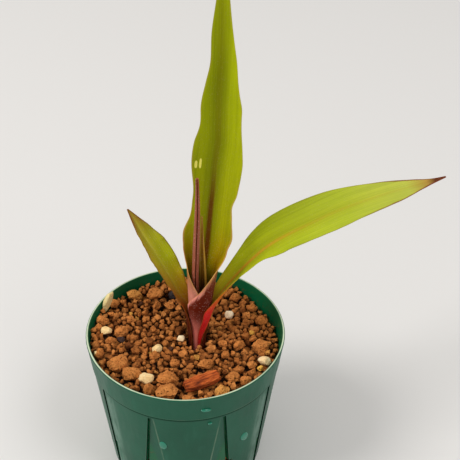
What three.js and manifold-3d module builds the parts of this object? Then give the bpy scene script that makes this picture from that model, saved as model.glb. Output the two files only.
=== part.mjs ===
// Young pitcairnia sanguinea in a green slit nursery pot of clay granules.
// Millimetres, +Z up. The origin is the middle of the flat pot base, on the ground.
// The camera side of the plant is -Y: the tall leaf faces it, the long leaf points along +X.

import * as THREE from "three";
import { mergeVertices } from "three/addons/utils/BufferGeometryUtils.js";
import Module from "manifold-3d";

const wasm = await Module();
wasm.setup();

const FULL_TURN = 2 * Math.PI;
const GOLDEN_ANGLE = Math.PI * (3 - Math.sqrt(5));

const radians = THREE.MathUtils.degToRad;
const mix = THREE.MathUtils.lerp;
const clamp = THREE.MathUtils.clamp;

// Driving dimensions of the pot.
const RIM_RADIUS = 45;
const POT_HEIGHT = 75;
const POT_WALL = 1.2;
const POT_FLOOR = 1.5;
const WALL_TAPER = 0.125;
const BAND_BOTTOM = 61.4;
const BAND_STEP = 0.25;
const FACET_TOP = 59.5;
const FACET_BOTTOM = 8;
const GROOVE_DRAFT = 0.12;
const GROOVE_DEPTHS = [1.2, 3];
const FACET_SINK_TOP = 0.1;
const CREASE_GAP_TOP = 2.2;
const CREASE_OFFSET_BASE = 7.4;
const LIP_ROLL = 0.3;
const LIP_DROP = 0.7;
const SLIT_WIDTH = 2.6;
const SLIT_HEIGHT = 24.5;
const SLIT_REACH = 14;
const CUTTER_MARGIN = 1;

// Driving dimensions of the filling.
const BED_LEVEL = 66.2;
const BED_RADIUS = 42.6;
const BED_SHOULDER = 0.6;
const BED_SHOULDER_RISE = 0.4;
const SOIL_CLEARANCE = 0.3;
const GRAIN_COUNT = 215;
const GRAIN_SIZE = 4.2;
const GRAIN_SIDES = [0.7, 0.7, 1];
const GRAIN_SPREAD = [0.8, 1.15];
const GRAIN_SIDE_SPREAD = [0.88, 1.15];
const GRAIN_SHIFT = 0.5;
const GRAIN_TILT = radians(34);
const GRAIN_LIFT = 0.05;
const GRAIN_FIELD_RADIUS = 40;
const LUMP_LIFT = 0.12;
const LUMP_HEIGHT = 0.7;
const LUMP_DEPTHS = [0.75, 0.95];
const LUMP_TILT = 10;
const STONE_CORNER_SHIFT = 0.16;
const STONE_CLEARANCE = 0.35;
const STONE_KEEP_OUT = 3;

// The crown of the plant, where its sheaths enter the soil.
const CROWN = new THREE.Vector2(5.2, 2.5);
const STEM_HOLE_RADIUS = 5.2;
const STEM_HOLE_DEPTH = 34;
const STEM_HOLE_SIDES = 20;
const BLADE_THICKNESS = 0.6;

// A repeatable draw between 0 and 1 for item i and use k.
function draw(i, k) {
  const s = Math.sin(i * 127.1 + k * 311.7 + 17.3) * 43758.5453;
  return s - Math.floor(s);
}

// Signed volume of a triangle list, to turn a body the right way out.
function signedVolume(points, triangles) {
  let volume = 0;
  for (const [a, b, c] of triangles) {
    volume += points[a].dot(new THREE.Vector3().crossVectors(points[b], points[c])) / 6;
  }
  return volume;
}

function bodyFrom(points, triangles) {
  const flip = signedVolume(points, triangles) < 0;
  const geometry = new THREE.BufferGeometry().setFromPoints(points);
  geometry.setIndex(triangles.flatMap(([a, b, c]) => (flip ? [a, c, b] : [a, b, c])));
  return geometry;
}

// Closed body through a stack of rings of equal length. Ends are closed by a fan round their middle.
function stackRings(rings) {
  const n = rings[0].length;
  const points = rings.flat();
  const triangles = [];
  for (let r = 0; r + 1 < rings.length; r++) {
    for (let i = 0; i < n; i++) {
      const a = r * n + i;
      const b = r * n + ((i + 1) % n);
      triangles.push([a, b, b + n], [a, b + n, a + n]);
    }
  }
  for (const [ring, start] of [[rings[0], 0], [rings.at(-1), (rings.length - 1) * n]]) {
    const middle = new THREE.Vector3();
    ring.forEach((p) => middle.addScaledVector(p, 1 / n));
    points.push(middle);
    for (let i = 0; i < n; i++) {
      const pair = [start + i, start + ((i + 1) % n)];
      if (start === 0) pair.reverse();
      triangles.push([...pair, points.length - 1]);
    }
  }
  return bodyFrom(points, triangles);
}

function toSolid(geometry) {
  const bare = geometry.clone();
  for (const name of ["normal", "uv"]) bare.deleteAttribute(name);
  const merged = mergeVertices(bare);
  const mesh = new wasm.Mesh({
    numProp: 3,
    vertProperties: Float32Array.from(merged.attributes.position.array),
    triVerts: Uint32Array.from(merged.index.array),
  });
  return new wasm.Manifold(mesh);
}

function toGeometry(solid) {
  const mesh = solid.getMesh();
  const geometry = new THREE.BufferGeometry();
  geometry.setAttribute("position", new THREE.BufferAttribute(Float32Array.from(mesh.vertProperties), 3));
  geometry.setIndex(Array.from(mesh.triVerts));
  return geometry;
}

// Pot: four panels face -Y, +X, +Y and -X. A panel lies between two upright grooves. Beside each
// groove it holds a flat face, which leans in from a crease and is widest at the base.

// Each panel: half its width at the top and at the base, its grooves' widths there, and how deep
// its flat faces lie at the base.
const PANELS = [
  { middle: radians(270), top: 16.8, base: 20.2, grooves: [0.95, 0.95], sink: 1.6 },
  { middle: radians(0), top: 22.8, base: 17.2, grooves: [1.5, 2.6], sink: 0.15 },
  { middle: radians(90), top: 16.8, base: 20.2, grooves: [0.95, 0.95], sink: 1.6 },
  { middle: radians(180), top: 22.8, base: 17.2, grooves: [1.5, 2.6], sink: 0.15 },
];
const ARC_POINTS_BETWEEN_CREASES = 3;
const ARC_POINTS_ROUND_PANEL = 6;
const WALL_LEVELS = [FACET_BOTTOM, 25, 42, FACET_TOP];
const GROOVE_ROOF = FACET_TOP + GROOVE_DRAFT;

function outerRadius(z) {
  const band = z >= BAND_BOTTOM ? 0 : BAND_STEP;
  return RIM_RADIUS - WALL_TAPER * (POT_HEIGHT - z) - band;
}

// Points of a panel's right half at height z, from its edge to its crease: how far each lies from
// the panel's middle line, and how far from the pot's axis.
function panelHalf(panel, z, full, inset) {
  const down = clamp((FACET_TOP - z) / FACET_TOP, 0, 1);
  const fall = clamp((FACET_TOP - z) / (FACET_TOP - FACET_BOTTOM), 0, 1);
  const sunk = z <= FACET_TOP ? 1 : 0;
  const floor = full - sunk * mix(...GROOVE_DEPTHS, down);
  const brink = full - sunk * mix(FACET_SINK_TOP, panel.sink, down);
  const edge = mix(panel.top, panel.base, down) + inset;
  const inner = edge - inset * 1.5 - mix(...panel.grooves, down);
  const crease = mix(panel.top - CREASE_GAP_TOP, CREASE_OFFSET_BASE, fall) - inset;
  return [
    [edge, full], [edge - GROOVE_DRAFT, floor],
    [inner, floor], [inner - GROOVE_DRAFT, brink], [crease, full],
  ];
}

// One loop of the wall at height z, moved inwards by inset.
function wallRing(z, radius, inset) {
  const full = radius - inset;
  const polar = (angle, r) => new THREE.Vector3(Math.cos(angle) * r, Math.sin(angle) * r, z);
  const halves = PANELS.map((panel) => panelHalf(panel, z, full, inset)
    .map(([offset, reach]) => [Math.asin(offset / radius), reach]));
  return PANELS.flatMap(({ middle }, k) => {
    const half = halves[k];
    const creaseAngle = half.at(-1)[0];
    const ring = half.map(([angle, reach]) => polar(middle - angle, reach));
    for (let i = 1; i <= ARC_POINTS_BETWEEN_CREASES; i++) {
      const share = i / (ARC_POINTS_BETWEEN_CREASES + 1);
      ring.push(polar(middle + mix(-creaseAngle, creaseAngle, share), full));
    }
    ring.push(...half.toReversed().map(([angle, reach]) => polar(middle + angle, reach)));
    const start = middle + half[0][0];
    const end = middle + Math.PI / 2 - halves[(k + 1) % PANELS.length][0][0];
    for (let i = 1; i <= ARC_POINTS_ROUND_PANEL; i++) {
      ring.push(polar(mix(start, end, i / (ARC_POINTS_ROUND_PANEL + 1)), full));
    }
    return ring;
  });
}

// A slit runs towards the middle of the pot, opens the corner between wall and floor, and leans
// with the groove that it stands in.
function slitCutter(panel, side) {
  const reachOut = outerRadius(SLIT_HEIGHT) + CUTTER_MARGIN;
  const reachIn = outerRadius(0) - SLIT_REACH;
  const box = new THREE.BoxGeometry(reachOut - reachIn, SLIT_WIDTH, SLIT_HEIGHT + CUTTER_MARGIN);
  box.translate((reachOut + reachIn) / 2, 0, (SLIT_HEIGHT - CUTTER_MARGIN) / 2);
  const topEdge = mix(panel.base, panel.top, SLIT_HEIGHT / FACET_TOP);
  box.rotateX(-side * Math.atan((topEdge - panel.base) / SLIT_HEIGHT));
  box.rotateZ(panel.middle + side * Math.asin((panel.base - SLIT_WIDTH / 2) / outerRadius(0)));
  return toSolid(box);
}

function makePot() {
  const outside = [0, ...WALL_LEVELS, GROOVE_ROOF, BAND_BOTTOM - BAND_STEP, BAND_BOTTOM]
    .map((z) => wallRing(z, outerRadius(z), 0));
  outside.push(
    wallRing(POT_HEIGHT - LIP_DROP, RIM_RADIUS, 0),
    wallRing(POT_HEIGHT, RIM_RADIUS - LIP_ROLL, 0),
  );
  const inside = [POT_FLOOR, ...WALL_LEVELS, GROOVE_ROOF + POT_WALL, BAND_BOTTOM, POT_HEIGHT].reverse()
    .map((z) => wallRing(z, outerRadius(z), POT_WALL));
  let pot = toSolid(stackRings([...outside, ...inside]));
  for (const panel of PANELS) {
    for (const side of [-1, 1]) pot = pot.subtract(slitCutter(panel, side));
  }
  return toGeometry(pot);
}

// Chunks: a box or a many-sided ball with its corners moved about, for granules and stones.

function placeChunk(geometry, centre, size, turn) {
  geometry.scale(...size);
  geometry.rotateX(turn[0]);
  geometry.rotateY(turn[1]);
  geometry.rotateZ(turn[2]);
  geometry.translate(...centre);
  return geometry;
}

function jitterCorners(geometry, seed, amount) {
  const bare = geometry.clone();
  for (const name of ["normal", "uv"]) bare.deleteAttribute(name);
  const merged = mergeVertices(bare);
  const p = merged.attributes.position;
  for (let i = 0; i < p.count; i++) {
    const swell = 1 + amount * (draw(seed, i + 40) - 0.5);
    p.setXYZ(i, p.getX(i) * swell, p.getY(i) * swell, p.getZ(i) * swell);
  }
  return merged;
}

function granule(seed, centre, size) {
  const chunk = new THREE.BoxGeometry(1, 1, 1);
  const sides = GRAIN_SIDES.map((share, k) => size * share * mix(...GRAIN_SIDE_SPREAD, draw(seed, k)));
  const tilt = [3, 4].map((k) => (draw(seed, k) - 0.5) * GRAIN_TILT);
  return placeChunk(chunk, centre, sides, [...tilt, draw(seed, 5) * Math.PI]);
}

function stoneShape(stone, grow) {
  const chunk = jitterCorners(new THREE.IcosahedronGeometry(0.5, 0), stone.seed, STONE_CORNER_SHIFT);
  const size = stone.size.map((s) => s + 2 * grow);
  return placeChunk(chunk, stone.at, size, (stone.turn ?? [0, 0, 0]).map(radians));
}

// The filling: a bed that is heaped up to the back and the left, granules standing out of it,
// larger lumps along the front, the sides and the back, holes for the plant, and seats for the
// loose stones.

// How far the bed's edge stands above its middle, at each turn in degrees from the front.
const EDGE_RISES = [
  [0, -1.9], [45, -1.6], [90, 0], [110, 0.3], [130, 1.6], [150, 3.2], [225, 3.2], [250, 4.8],
  [280, 5.2], [305, 2.6], [330, -0.4], [360, -1.9],
];

function edgeRise(x, y) {
  const turn = THREE.MathUtils.euclideanModulo(THREE.MathUtils.radToDeg(Math.atan2(x, -y)), 360);
  const after = Math.max(1, EDGE_RISES.findIndex(([at]) => at >= turn));
  const [[start, low], [end, high]] = [EDGE_RISES[after - 1], EDGE_RISES[after]];
  return mix(low, high, (turn - start) / (end - start));
}

// The bed climbs slowly from its middle to its shoulder, and faster from there to the wall.
function bedHeight(x, y) {
  const reach = Math.hypot(x, y) / BED_RADIUS;
  const outside = (reach - BED_SHOULDER) / (1 - BED_SHOULDER);
  const inside = BED_SHOULDER_RISE * (reach / BED_SHOULDER);
  const share = outside < 0 ? inside : mix(BED_SHOULDER_RISE, 1, outside);
  return BED_LEVEL + share * edgeRise(x, y);
}

// Larger lumps: x, y, width. They sit a third out of the bed.
const LUMPS = [
  [-30.5, -16.1, 9.6], [-24.3, -21.8, 9.2], [-8.5, -22.8, 8.6], [-8.6, -31.4, 8.4], [-16.9, -29.6, 5.6],
  [-38, 10.4, 5.6], [-29.5, 4.1, 6.5], [-24.3, 30.2, 6.6], [-14.5, 31.4, 7], [33.9, -4.1, 9.6],
  [8.8, -14.4, 7], [19.9, -22.9, 6.5], [17, -30.4, 6.5], [35.8, 13, 6.2], [23.5, 28.6, 5.6],
];

const STONES = [
  { name: "pale_stone_leaning", seed: 3, at: [-36.2, 19.2, 75.8], size: [4, 3.4, 11.8], turn: [8, 21, 42] },
  { name: "pale_stone_left", seed: 5, at: [-36.1, 3.1, 72.3], size: [5.6, 4.2, 3.6], turn: [0, 10, 20] },
  { name: "pale_stone_middle", seed: 8, at: [-13, -6.2, 69.1], size: [4.8, 4.4, 5], turn: [20, 10, 60] },
  { name: "pale_stone_crown", seed: 11, at: [-2.4, 1.2, 68.2], size: [4, 3.6, 3.4], turn: [0, 12, 30] },
  { name: "pale_stone_front", seed: 14, at: [-17.7, -24.5, 68.5], size: [7.6, 5.6, 5.2], turn: [0, -8, 10] },
  { name: "pale_stone_right", seed: 17, at: [20.5, 15.8, 69.3], size: [4, 4, 5], turn: [12, 0, 40] },
  { name: "pale_stone_edge", seed: 20, at: [-39.6, -11.8, 71.7], size: [2.6, 3.2, 3.2], turn: [0, 0, 15] },
  { name: "pale_stone_cluster", seed: 23, at: [35.3, -14.3, 67.6], size: [5, 6, 4.2], turn: [0, 14, 50] },
];

const BARK = {
  middle: new THREE.Vector3(6.8, -26.5, 68.1),
  length: 16.5,
  width: 7,
  depth: 3.6,
  turn: 21,
  rise: 5,
  steps: 5,
  sides: 8,
  endTaper: 0.22,
  roughness: 0.16,
  fullness: 1.06,
  raggedEnd: 0.8,
};

function barkChip(grow) {
  const rings = [];
  const half = BARK.length / 2 + grow;
  for (let i = 0; i <= BARK.steps; i++) {
    const along = mix(-half, half, i / BARK.steps);
    const taper = 1 - BARK.endTaper * Math.abs((2 * i) / BARK.steps - 1) ** 3;
    const ring = [];
    for (let k = 0; k < BARK.sides; k++) {
      const angle = (FULL_TURN * (k + 0.5)) / BARK.sides;
      const swell = BARK.fullness * (1 + BARK.roughness * (draw(i, k + 7) - 0.5));
      const [wide, high] = [Math.cos(angle), Math.sin(angle)];
      const across = wide * (BARK.width / 2) * taper * swell + Math.sign(wide) * grow;
      const up = high * (BARK.depth / 2) * swell + Math.sign(high) * grow;
      ring.push(new THREE.Vector3(along + BARK.raggedEnd * Math.sign(along) * draw(i, k), across, up));
    }
    rings.push(ring);
  }
  const chip = stackRings(rings);
  chip.rotateY(-radians(BARK.rise));
  chip.rotateZ(radians(BARK.turn));
  chip.translate(BARK.middle.x, BARK.middle.y, BARK.middle.z);
  return chip;
}

function bedBody() {
  const inset = POT_WALL + SOIL_CLEARANCE;
  const levels = [POT_FLOOR + SOIL_CLEARANCE, ...WALL_LEVELS, GROOVE_ROOF + inset].reverse();
  const rings = levels.map((z) => wallRing(z, outerRadius(z), inset));
  const top = wallRing(BED_LEVEL, outerRadius(BED_LEVEL), inset).map((p) => {
    const z = bedHeight(p.x, p.y);
    const widening = (outerRadius(z) - inset) / (outerRadius(BED_LEVEL) - inset);
    return new THREE.Vector3(p.x * widening, p.y * widening, z);
  });
  const shoulder = top.map((p) => {
    const [x, y] = [p.x * BED_SHOULDER, p.y * BED_SHOULDER];
    return new THREE.Vector3(x, y, bedHeight(x, y));
  });
  return toSolid(stackRings([shoulder, top, ...rings]));
}

function lumpNear(x, y) {
  return LUMPS.some(([lx, ly, width]) => Math.hypot(x - lx, y - ly) < width / 2);
}

function stoneNear(x, y) {
  return STONES.some((s) => Math.hypot(x - s.at[0], y - s.at[1]) < STONE_KEEP_OUT);
}

// Granules on a sunflower spiral, each moved a little from its place.
function granulePlaces() {
  const places = [];
  for (let i = 0; i < GRAIN_COUNT; i++) {
    const r = GRAIN_FIELD_RADIUS * Math.sqrt((i + 0.5) / GRAIN_COUNT);
    const angle = i * GOLDEN_ANGLE;
    const x = r * Math.cos(angle) + (draw(i, 11) - 0.5) * GRAIN_SHIFT;
    const y = r * Math.sin(angle) + (draw(i, 12) - 0.5) * GRAIN_SHIFT;
    const atCrown = Math.hypot(x - CROWN.x, y - CROWN.y) < STEM_HOLE_RADIUS;
    if (!atCrown && !lumpNear(x, y) && !stoneNear(x, y)) places.push([i, x, y]);
  }
  return places;
}

function makeSoil(rootCutters) {
  const chunks = granulePlaces().map(([i, x, y]) => {
    const size = GRAIN_SIZE * mix(...GRAIN_SPREAD, draw(i, 13));
    return toSolid(granule(i, [x, y, bedHeight(x, y) + size * GRAIN_LIFT], size));
  });
  LUMPS.forEach(([x, y, width], i) => {
    const size = [width, width * mix(...LUMP_DEPTHS, draw(i, 60)), width * LUMP_HEIGHT];
    const at = [x, y, bedHeight(x, y) + width * LUMP_LIFT];
    const lump = { seed: 500 + i, at, size, turn: [0, LUMP_TILT, 360 * draw(i, 61)] };
    chunks.push(toSolid(stoneShape(lump, 0)));
  });
  let soil = chunks.reduce((sum, chunk) => sum.add(chunk), bedBody());
  const hole = new THREE.CylinderGeometry(STEM_HOLE_RADIUS, STEM_HOLE_RADIUS, STEM_HOLE_DEPTH, STEM_HOLE_SIDES);
  hole.rotateX(Math.PI / 2);
  hole.translate(CROWN.x, CROWN.y, ROOTSTOCK_FOOT - SOIL_CLEARANCE + STEM_HOLE_DEPTH / 2);
  soil = soil.subtract(toSolid(hole));
  for (const cutter of rootCutters) soil = soil.subtract(cutter);
  for (const stone of STONES) soil = soil.subtract(toSolid(stoneShape(stone, STONE_CLEARANCE)));
  soil = soil.subtract(toSolid(barkChip(STONE_CLEARANCE)));
  return toGeometry(soil);
}

// Rootstock: the short stem under the sheaths, with its roots running down into the granules.

const ROOTSTOCK_FOOT = 46.3;
const ROOTSTOCK_RINGS = [[ROOTSTOCK_FOOT, 3.4], [50, 4.6], [56, 4.8], [60.7, 4.6]];
const ROOTSTOCK_SIDES = 14;
const ROOT_COUNT = 6;
const ROOT_SIDES = 5;
const ROOT_RADIUS = 0.9;
const ROOT_TAPER = 0.12;
const ROOT_HEIGHTS = [50, 54];
const ROOT_REACHES = [13, 20];
const ROOT_DROPS = [-24, -32];

function rootPath(i) {
  const angle = (FULL_TURN * (i + 0.35 * draw(i, 70))) / ROOT_COUNT;
  const out = new THREE.Vector3(Math.cos(angle), Math.sin(angle), 0);
  const start = new THREE.Vector3(CROWN.x, CROWN.y, mix(...ROOT_HEIGHTS, draw(i, 71)));
  const reach = mix(...ROOT_REACHES, draw(i, 72));
  const bends = [[1.5, 0], [6, -3], [reach * 0.7, -12], [reach, mix(...ROOT_DROPS, draw(i, 73))]];
  return bends.map(([far, drop]) =>
    start.clone().addScaledVector(out, far).add(new THREE.Vector3(0, 0, drop)),
  );
}

function rootBody(i, grow) {
  const path = rootPath(i);
  const last = path.at(-1).clone().sub(path.at(-2)).normalize();
  if (grow > 0) path.push(path.pop().addScaledVector(last, grow));
  const rings = path.map((point, k) => {
    const ahead = path[Math.min(k + 1, path.length - 1)];
    const behind = path[Math.max(k - 1, 0)];
    const along = ahead.clone().sub(behind).normalize();
    const across = new THREE.Vector3(-along.y, along.x, 0).normalize();
    const up = new THREE.Vector3().crossVectors(along, across);
    const radius = ROOT_RADIUS * (1 - ROOT_TAPER * k) + grow;
    return Array.from({ length: ROOT_SIDES }, (_, j) => {
      const angle = (FULL_TURN * j) / ROOT_SIDES;
      return point.clone()
        .addScaledVector(across, Math.cos(angle) * radius)
        .addScaledVector(up, Math.sin(angle) * radius);
    });
  });
  return toSolid(stackRings(rings));
}

function makeRootstock() {
  const rings = ROOTSTOCK_RINGS.map(([z, radius]) =>
    Array.from({ length: ROOTSTOCK_SIDES }, (_, i) => {
      const angle = (FULL_TURN * i) / ROOTSTOCK_SIDES;
      return new THREE.Vector3(CROWN.x + Math.cos(angle) * radius, CROWN.y + Math.sin(angle) * radius, z);
    }),
  );
  let rootstock = toSolid(stackRings(rings));
  for (let i = 0; i < ROOT_COUNT; i++) rootstock = rootstock.add(rootBody(i, 0));
  return toGeometry(rootstock);
}

// Leaves. Each row is one place along the middle line, from the foot of the sheath to the tip:
// x, y, z; half width on the plus side and the minus side, measured along the surface;
// roll radius on each side; fold at the middle line and twist about it, in degrees.
// The sheath is the stretch where the roll radius is small and the half widths wrap the crown.

const LEAVES = [
  {
    name: "leaf_tall_back",
    bearing: 80,
    stations: 34,
    across: 12,
    colour: 0x8a9a10,
    rows: [
      [5.6, 4.8, 61, 5.4, 8.2, 2.2, 2.4, 0, 0],
      [5.6, 4.8, 67, 5.4, 8.3, 2.2, 2.4, 0, 0],
      [5.9, 5.0, 72, 5.6, 8.6, 2.2, 2.5, 0, 0],
      [6.5, 5.5, 76, 7.2, 11.0, 2.45, 2.95, 0, 0],
      [7.0, 6.3, 80, 10.4, 15.2, 3.1, 3.75, 0, 0],
      [7.0, 7.6, 85, 14.0, 22.6, 4.1, 5.0, 0, 0],
      [7.7, 7.8, 91, 15.2, 19.2, 4.4, 4.95, 0, 0],
      [7.9, 8.2, 97, 15.4, 17.2, 5.2, 5.6, 0, 0],
      [8.4, 8.4, 104, 11.2, 8.9, 6.4, 5.9, 0, 0],
      [9.2, 8.9, 110, 10.5, 8.6, 9, 8.4, 0, 0],
      [9.9, 9.4, 116, 11.3, 10.5, 14, 12, 0, 0],
      [10.4, 10.0, 122, 11.1, 11.3, 22, 20, 0, 0],
      [11.0, 10.8, 129, 8.6, 10.3, 30, 26, 0, 0],
      [11.6, 11.7, 136, 8.1, 9.5, 34, 30, 0, 0],
      [12.3, 12.6, 143, 8.4, 11.1, 36, 32, 0, 0],
      [13.2, 14.5, 154, 10.0, 12.1, 36, 34, 0, 0],
      [14.4, 16.2, 163, 9.9, 10.7, 34, 34, 0, 0],
      [14.7, 18.0, 171, 7.7, 9.8, 34, 34, 0, 0],
      [14.8, 19.9, 179, 7.4, 9.7, 32, 32, 0, 0],
      [15.2, 21.7, 187, 6.0, 8.1, 30, 30, 0, 0],
      [15.7, 24.0, 196, 4.4, 6.6, 28, 28, 0, 0],
      [16.1, 27.2, 208, 4.2, 4.4, 26, 26, 0, 0],
      [16.3, 31.2, 222, 2.3, 2.8, 24, 24, 0, 0],
      [16.4, 36.0, 236, 1.2, 1.4, 22, 22, 0, 0],
      [16.4, 41.0, 249, 0.35, 0.35, 20, 20, 0, 0],
    ],
  },
  {
    name: "leaf_long_right",
    bearing: 14,
    stations: 26,
    across: 8,
    colour: 0xa5b428,
    rows: [
      [8.4, 3.3, 61, 5.8, 7.9, 3.3, 3.3, 0, 0],
      [8.4, 3.3, 67, 5.8, 7.8, 3.3, 3.3, 0, 0],
      [8.9, 3.4, 72, 6.0, 7.7, 3.5, 3.5, 0, 0],
      [9.9, 3.6, 76, 6.4, 7.9, 3.95, 3.95, 0, 0],
      [11.0, 3.8, 80, 6.0, 8.0, 4.75, 4.75, 0, 0],
      [12.3, 4.1, 84.5, 5.0, 7.0, 5.6, 5.6, 0, 0],
      [14.2, 4.5, 88.5, 4.6, 5.4, 6, 6, 0, 4],
      [19.0, 5.6, 95.8, 5.2, 4.8, 7, 6, 6, 10],
      [24.4, 6.7, 102.5, 6.2, 4.8, 10, 8, 12, 15],
      [28.9, 7.6, 107.4, 7.4, 5.4, 13, 11, 13, 18],
      [35.3, 9.0, 113.3, 9.4, 7.0, 20, 18, 12, 22],
      [42.7, 10.6, 117.8, 11.0, 8.3, 32, 32, 10, 24],
      [55.0, 13.2, 123.2, 11.3, 8.6, 50, 50, 8, 25],
      [68.1, 16.0, 128.4, 9.8, 8.6, 60, 60, 8, 25],
      [85.9, 19.8, 133.1, 6.4, 7.0, 60, 60, 8, 22],
      [99.4, 22.6, 135.7, 3.6, 4.4, 60, 60, 8, 20],
      [108.5, 24.6, 137.2, 1.3, 1.8, 60, 60, 8, 20],
      [115.7, 26.0, 138.8, 0.35, 0.35, 60, 60, 0, 20],
    ],
  },
  {
    name: "leaf_short_left",
    bearing: 140,
    stations: 20,
    across: 10,
    colour: 0x7f8c18,
    rows: [
      [1.7, 5.4, 61, 7.4, 12.4, 4.55, 4.55, 0, 0],
      [1.7, 5.4, 67, 7.2, 11.6, 4.55, 4.55, 0, 0],
      [1.6, 5.7, 72, 5.4, 9.4, 4.95, 4.95, 0, 0],
      [1.0, 6.2, 76.5, 5.0, 7.2, 5.5, 5.5, 0, 0],
      [0.0, 7.1, 80.5, 4.8, 5.6, 6, 6, 0, 0],
      [-1.2, 8.2, 84.5, 4.8, 4.9, 7, 7, 4, 0],
      [-3.0, 9.7, 88.6, 5.0, 5.2, 9, 9, 9, 2],
      [-5.5, 11.7, 92.8, 5.7, 6.4, 13, 14, 12, 5],
      [-8.1, 13.9, 96.8, 6.3, 7.6, 18, 22, 13, 8],
      [-11.2, 16.5, 101.5, 6.7, 8.2, 25, 30, 13, 8],
      [-14.4, 19.2, 106.3, 6.4, 8.2, 30, 36, 12, 8],
      [-17.7, 22.0, 110.6, 5.0, 6.8, 34, 40, 10, 8],
      [-21.2, 25.0, 115.8, 2.8, 3.9, 36, 40, 8, 6],
      [-25.2, 28.5, 121.7, 0.35, 0.35, 36, 40, 0, 6],
    ],
  },
  {
    name: "leaf_young_spear",
    bearing: 90,
    stations: 13,
    across: 8,
    colour: 0xb87868,
    rows: [
      [5.2, 3.12, 61, 1.85, 1.85, 0.62, 0.62, 0, 0],
      [5.2, 3.2, 67, 1.85, 1.85, 0.62, 0.62, 0, 0],
      [6.0, 3.75, 76, 2.05, 2.05, 0.68, 0.68, 0, 0],
      [6.2, 3.95, 80, 2.6, 2.6, 0.88, 0.88, 0, 0],
      [5.2, 3.7, 86, 3.4, 3.4, 1.15, 1.15, 0, 0],
      [4.9, 3.4, 92, 3.7, 3.7, 1.25, 1.25, 0, 0],
      [4.6, 3.0, 98, 3.85, 3.85, 1.3, 1.3, 0, 0],
      [4.5, 2.7, 104, 3.85, 3.85, 1.3, 1.3, 0, 0],
      [4.8, 2.9, 113, 3.8, 3.8, 1.28, 1.28, 0, 0],
      [5.0, 3.1, 121, 3.6, 3.6, 1.22, 1.22, 0, 0],
      [5.4, 3.3, 131, 3.1, 3.1, 1.06, 1.06, 0, 0],
      [5.6, 3.4, 140, 2.3, 2.3, 0.8, 0.8, 0, 0],
      [5.6, 3.4, 148, 1.4, 1.4, 0.52, 0.52, 0, 0],
      [5.5, 3.4, 154, 0.9, 0.9, 0.4, 0.4, 0, 0],
    ],
  },
  {
    name: "leaf_inner_folded",
    bearing: 40,
    stations: 11,
    across: 8,
    colour: 0x8a6b2c,
    rows: [
      [6.3, 3.45, 61, 4.1, 4.1, 1.45, 1.45, 0, 0],
      [6.3, 3.5, 67, 4.1, 4.1, 1.45, 1.45, 0, 0],
      [7.2, 4.05, 76, 3.4, 3.4, 1.5, 1.5, 0, 0],
      [7.8, 4.35, 80, 3.5, 3.5, 1.8, 1.8, 0, 0],
      [8.2, 4.95, 86, 3.7, 3.7, 2.1, 2.1, 0, 0],
      [8.9, 5.0, 92, 3.3, 3.3, 1.9, 1.9, 0, 0],
      [9.0, 4.7, 98, 2.8, 2.8, 1.7, 1.7, 0, 0],
      [8.8, 4.5, 104, 2.4, 2.4, 1.5, 1.5, 0, 0],
      [8.4, 4.4, 112, 1.9, 1.9, 1.2, 1.2, 0, 0],
      [7.9, 4.4, 120, 1.3, 1.3, 1.0, 1.0, 0, 0],
      [7.6, 4.4, 128, 0.8, 0.8, 0.9, 0.9, 0, 0],
      [7.4, 4.5, 134, 0.35, 0.35, 0.9, 0.9, 0, 0],
    ],
  },
];

// Smooth curve through the rows: every column of the table is eased the same way.
function rowAt(rows, share) {
  const last = rows.length - 1;
  const place = clamp(share, 0, 1) * last;
  const k = Math.min(Math.floor(place), last - 1);
  const t = place - k;
  const before = rows[k - 1] ?? rows[k].map((v, i) => 2 * v - rows[k + 1][i]);
  const after = rows[k + 2] ?? rows[k + 1].map((v, i) => 2 * v - rows[k][i]);
  return rows[k].map((b, i) => {
    const [a, c, d] = [before[i], rows[k + 1][i], after[i]];
    return 0.5 * (2 * b + (c - a) * t + (2 * a - 5 * b + 4 * c - d) * t * t + (3 * b - a - 3 * c + d) * t ** 3);
  });
}

// Directions at a place: along the leaf, across it to the plus side, and out of its upper face.
function leafAxes(leaf, share) {
  const step = 1e-3;
  const ahead = new THREE.Vector3(...rowAt(leaf.rows, share + step));
  const behind = new THREE.Vector3(...rowAt(leaf.rows, share - step));
  const along = ahead.sub(behind).normalize();
  const bearing = radians(leaf.bearing);
  const across = new THREE.Vector3(-Math.sin(bearing), Math.cos(bearing), 0);
  across.addScaledVector(along, -across.dot(along)).normalize();
  const up = new THREE.Vector3().crossVectors(along, across);
  const twist = radians(rowAt(leaf.rows, share)[8]);
  const turned = across.clone().multiplyScalar(Math.cos(twist)).addScaledVector(up, Math.sin(twist));
  return { across: turned, up: new THREE.Vector3().crossVectors(along, turned) };
}

// One cross-section: the upper face from the minus edge to the plus edge, and back on the lower face.
function leafRing(leaf, share) {
  const [x, y, z, plus, minus, rollPlus, rollMinus, foldDegrees] = rowAt(leaf.rows, share);
  const { across, up } = leafAxes(leaf, share);
  const fold = radians(foldDegrees);
  const faces = [[], []];
  for (let i = 0; i <= leaf.across; i++) {
    const side = (2 * i) / leaf.across - 1;
    const sign = side < 0 ? -1 : 1;
    const roll = sign < 0 ? rollMinus : rollPlus;
    const reach = Math.abs(side) * (sign < 0 ? minus : plus);
    const lean = fold + reach / roll;
    const sideways = sign * (Math.sin(lean) - Math.sin(fold)) * roll;
    const rise = (Math.cos(fold) - Math.cos(lean)) * roll;
    const atRib = side === 0;
    const normal = atRib
      ? up.clone()
      : up.clone().multiplyScalar(Math.cos(lean)).addScaledVector(across, -sign * Math.sin(lean));
    const middle = new THREE.Vector3(x, y, z).addScaledVector(across, sideways).addScaledVector(up, rise);
    faces.forEach((face, j) => {
      face.push(middle.clone().addScaledVector(normal, (0.5 - j) * BLADE_THICKNESS));
    });
  }
  return [...faces[0], ...faces[1].reverse()];
}

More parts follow.
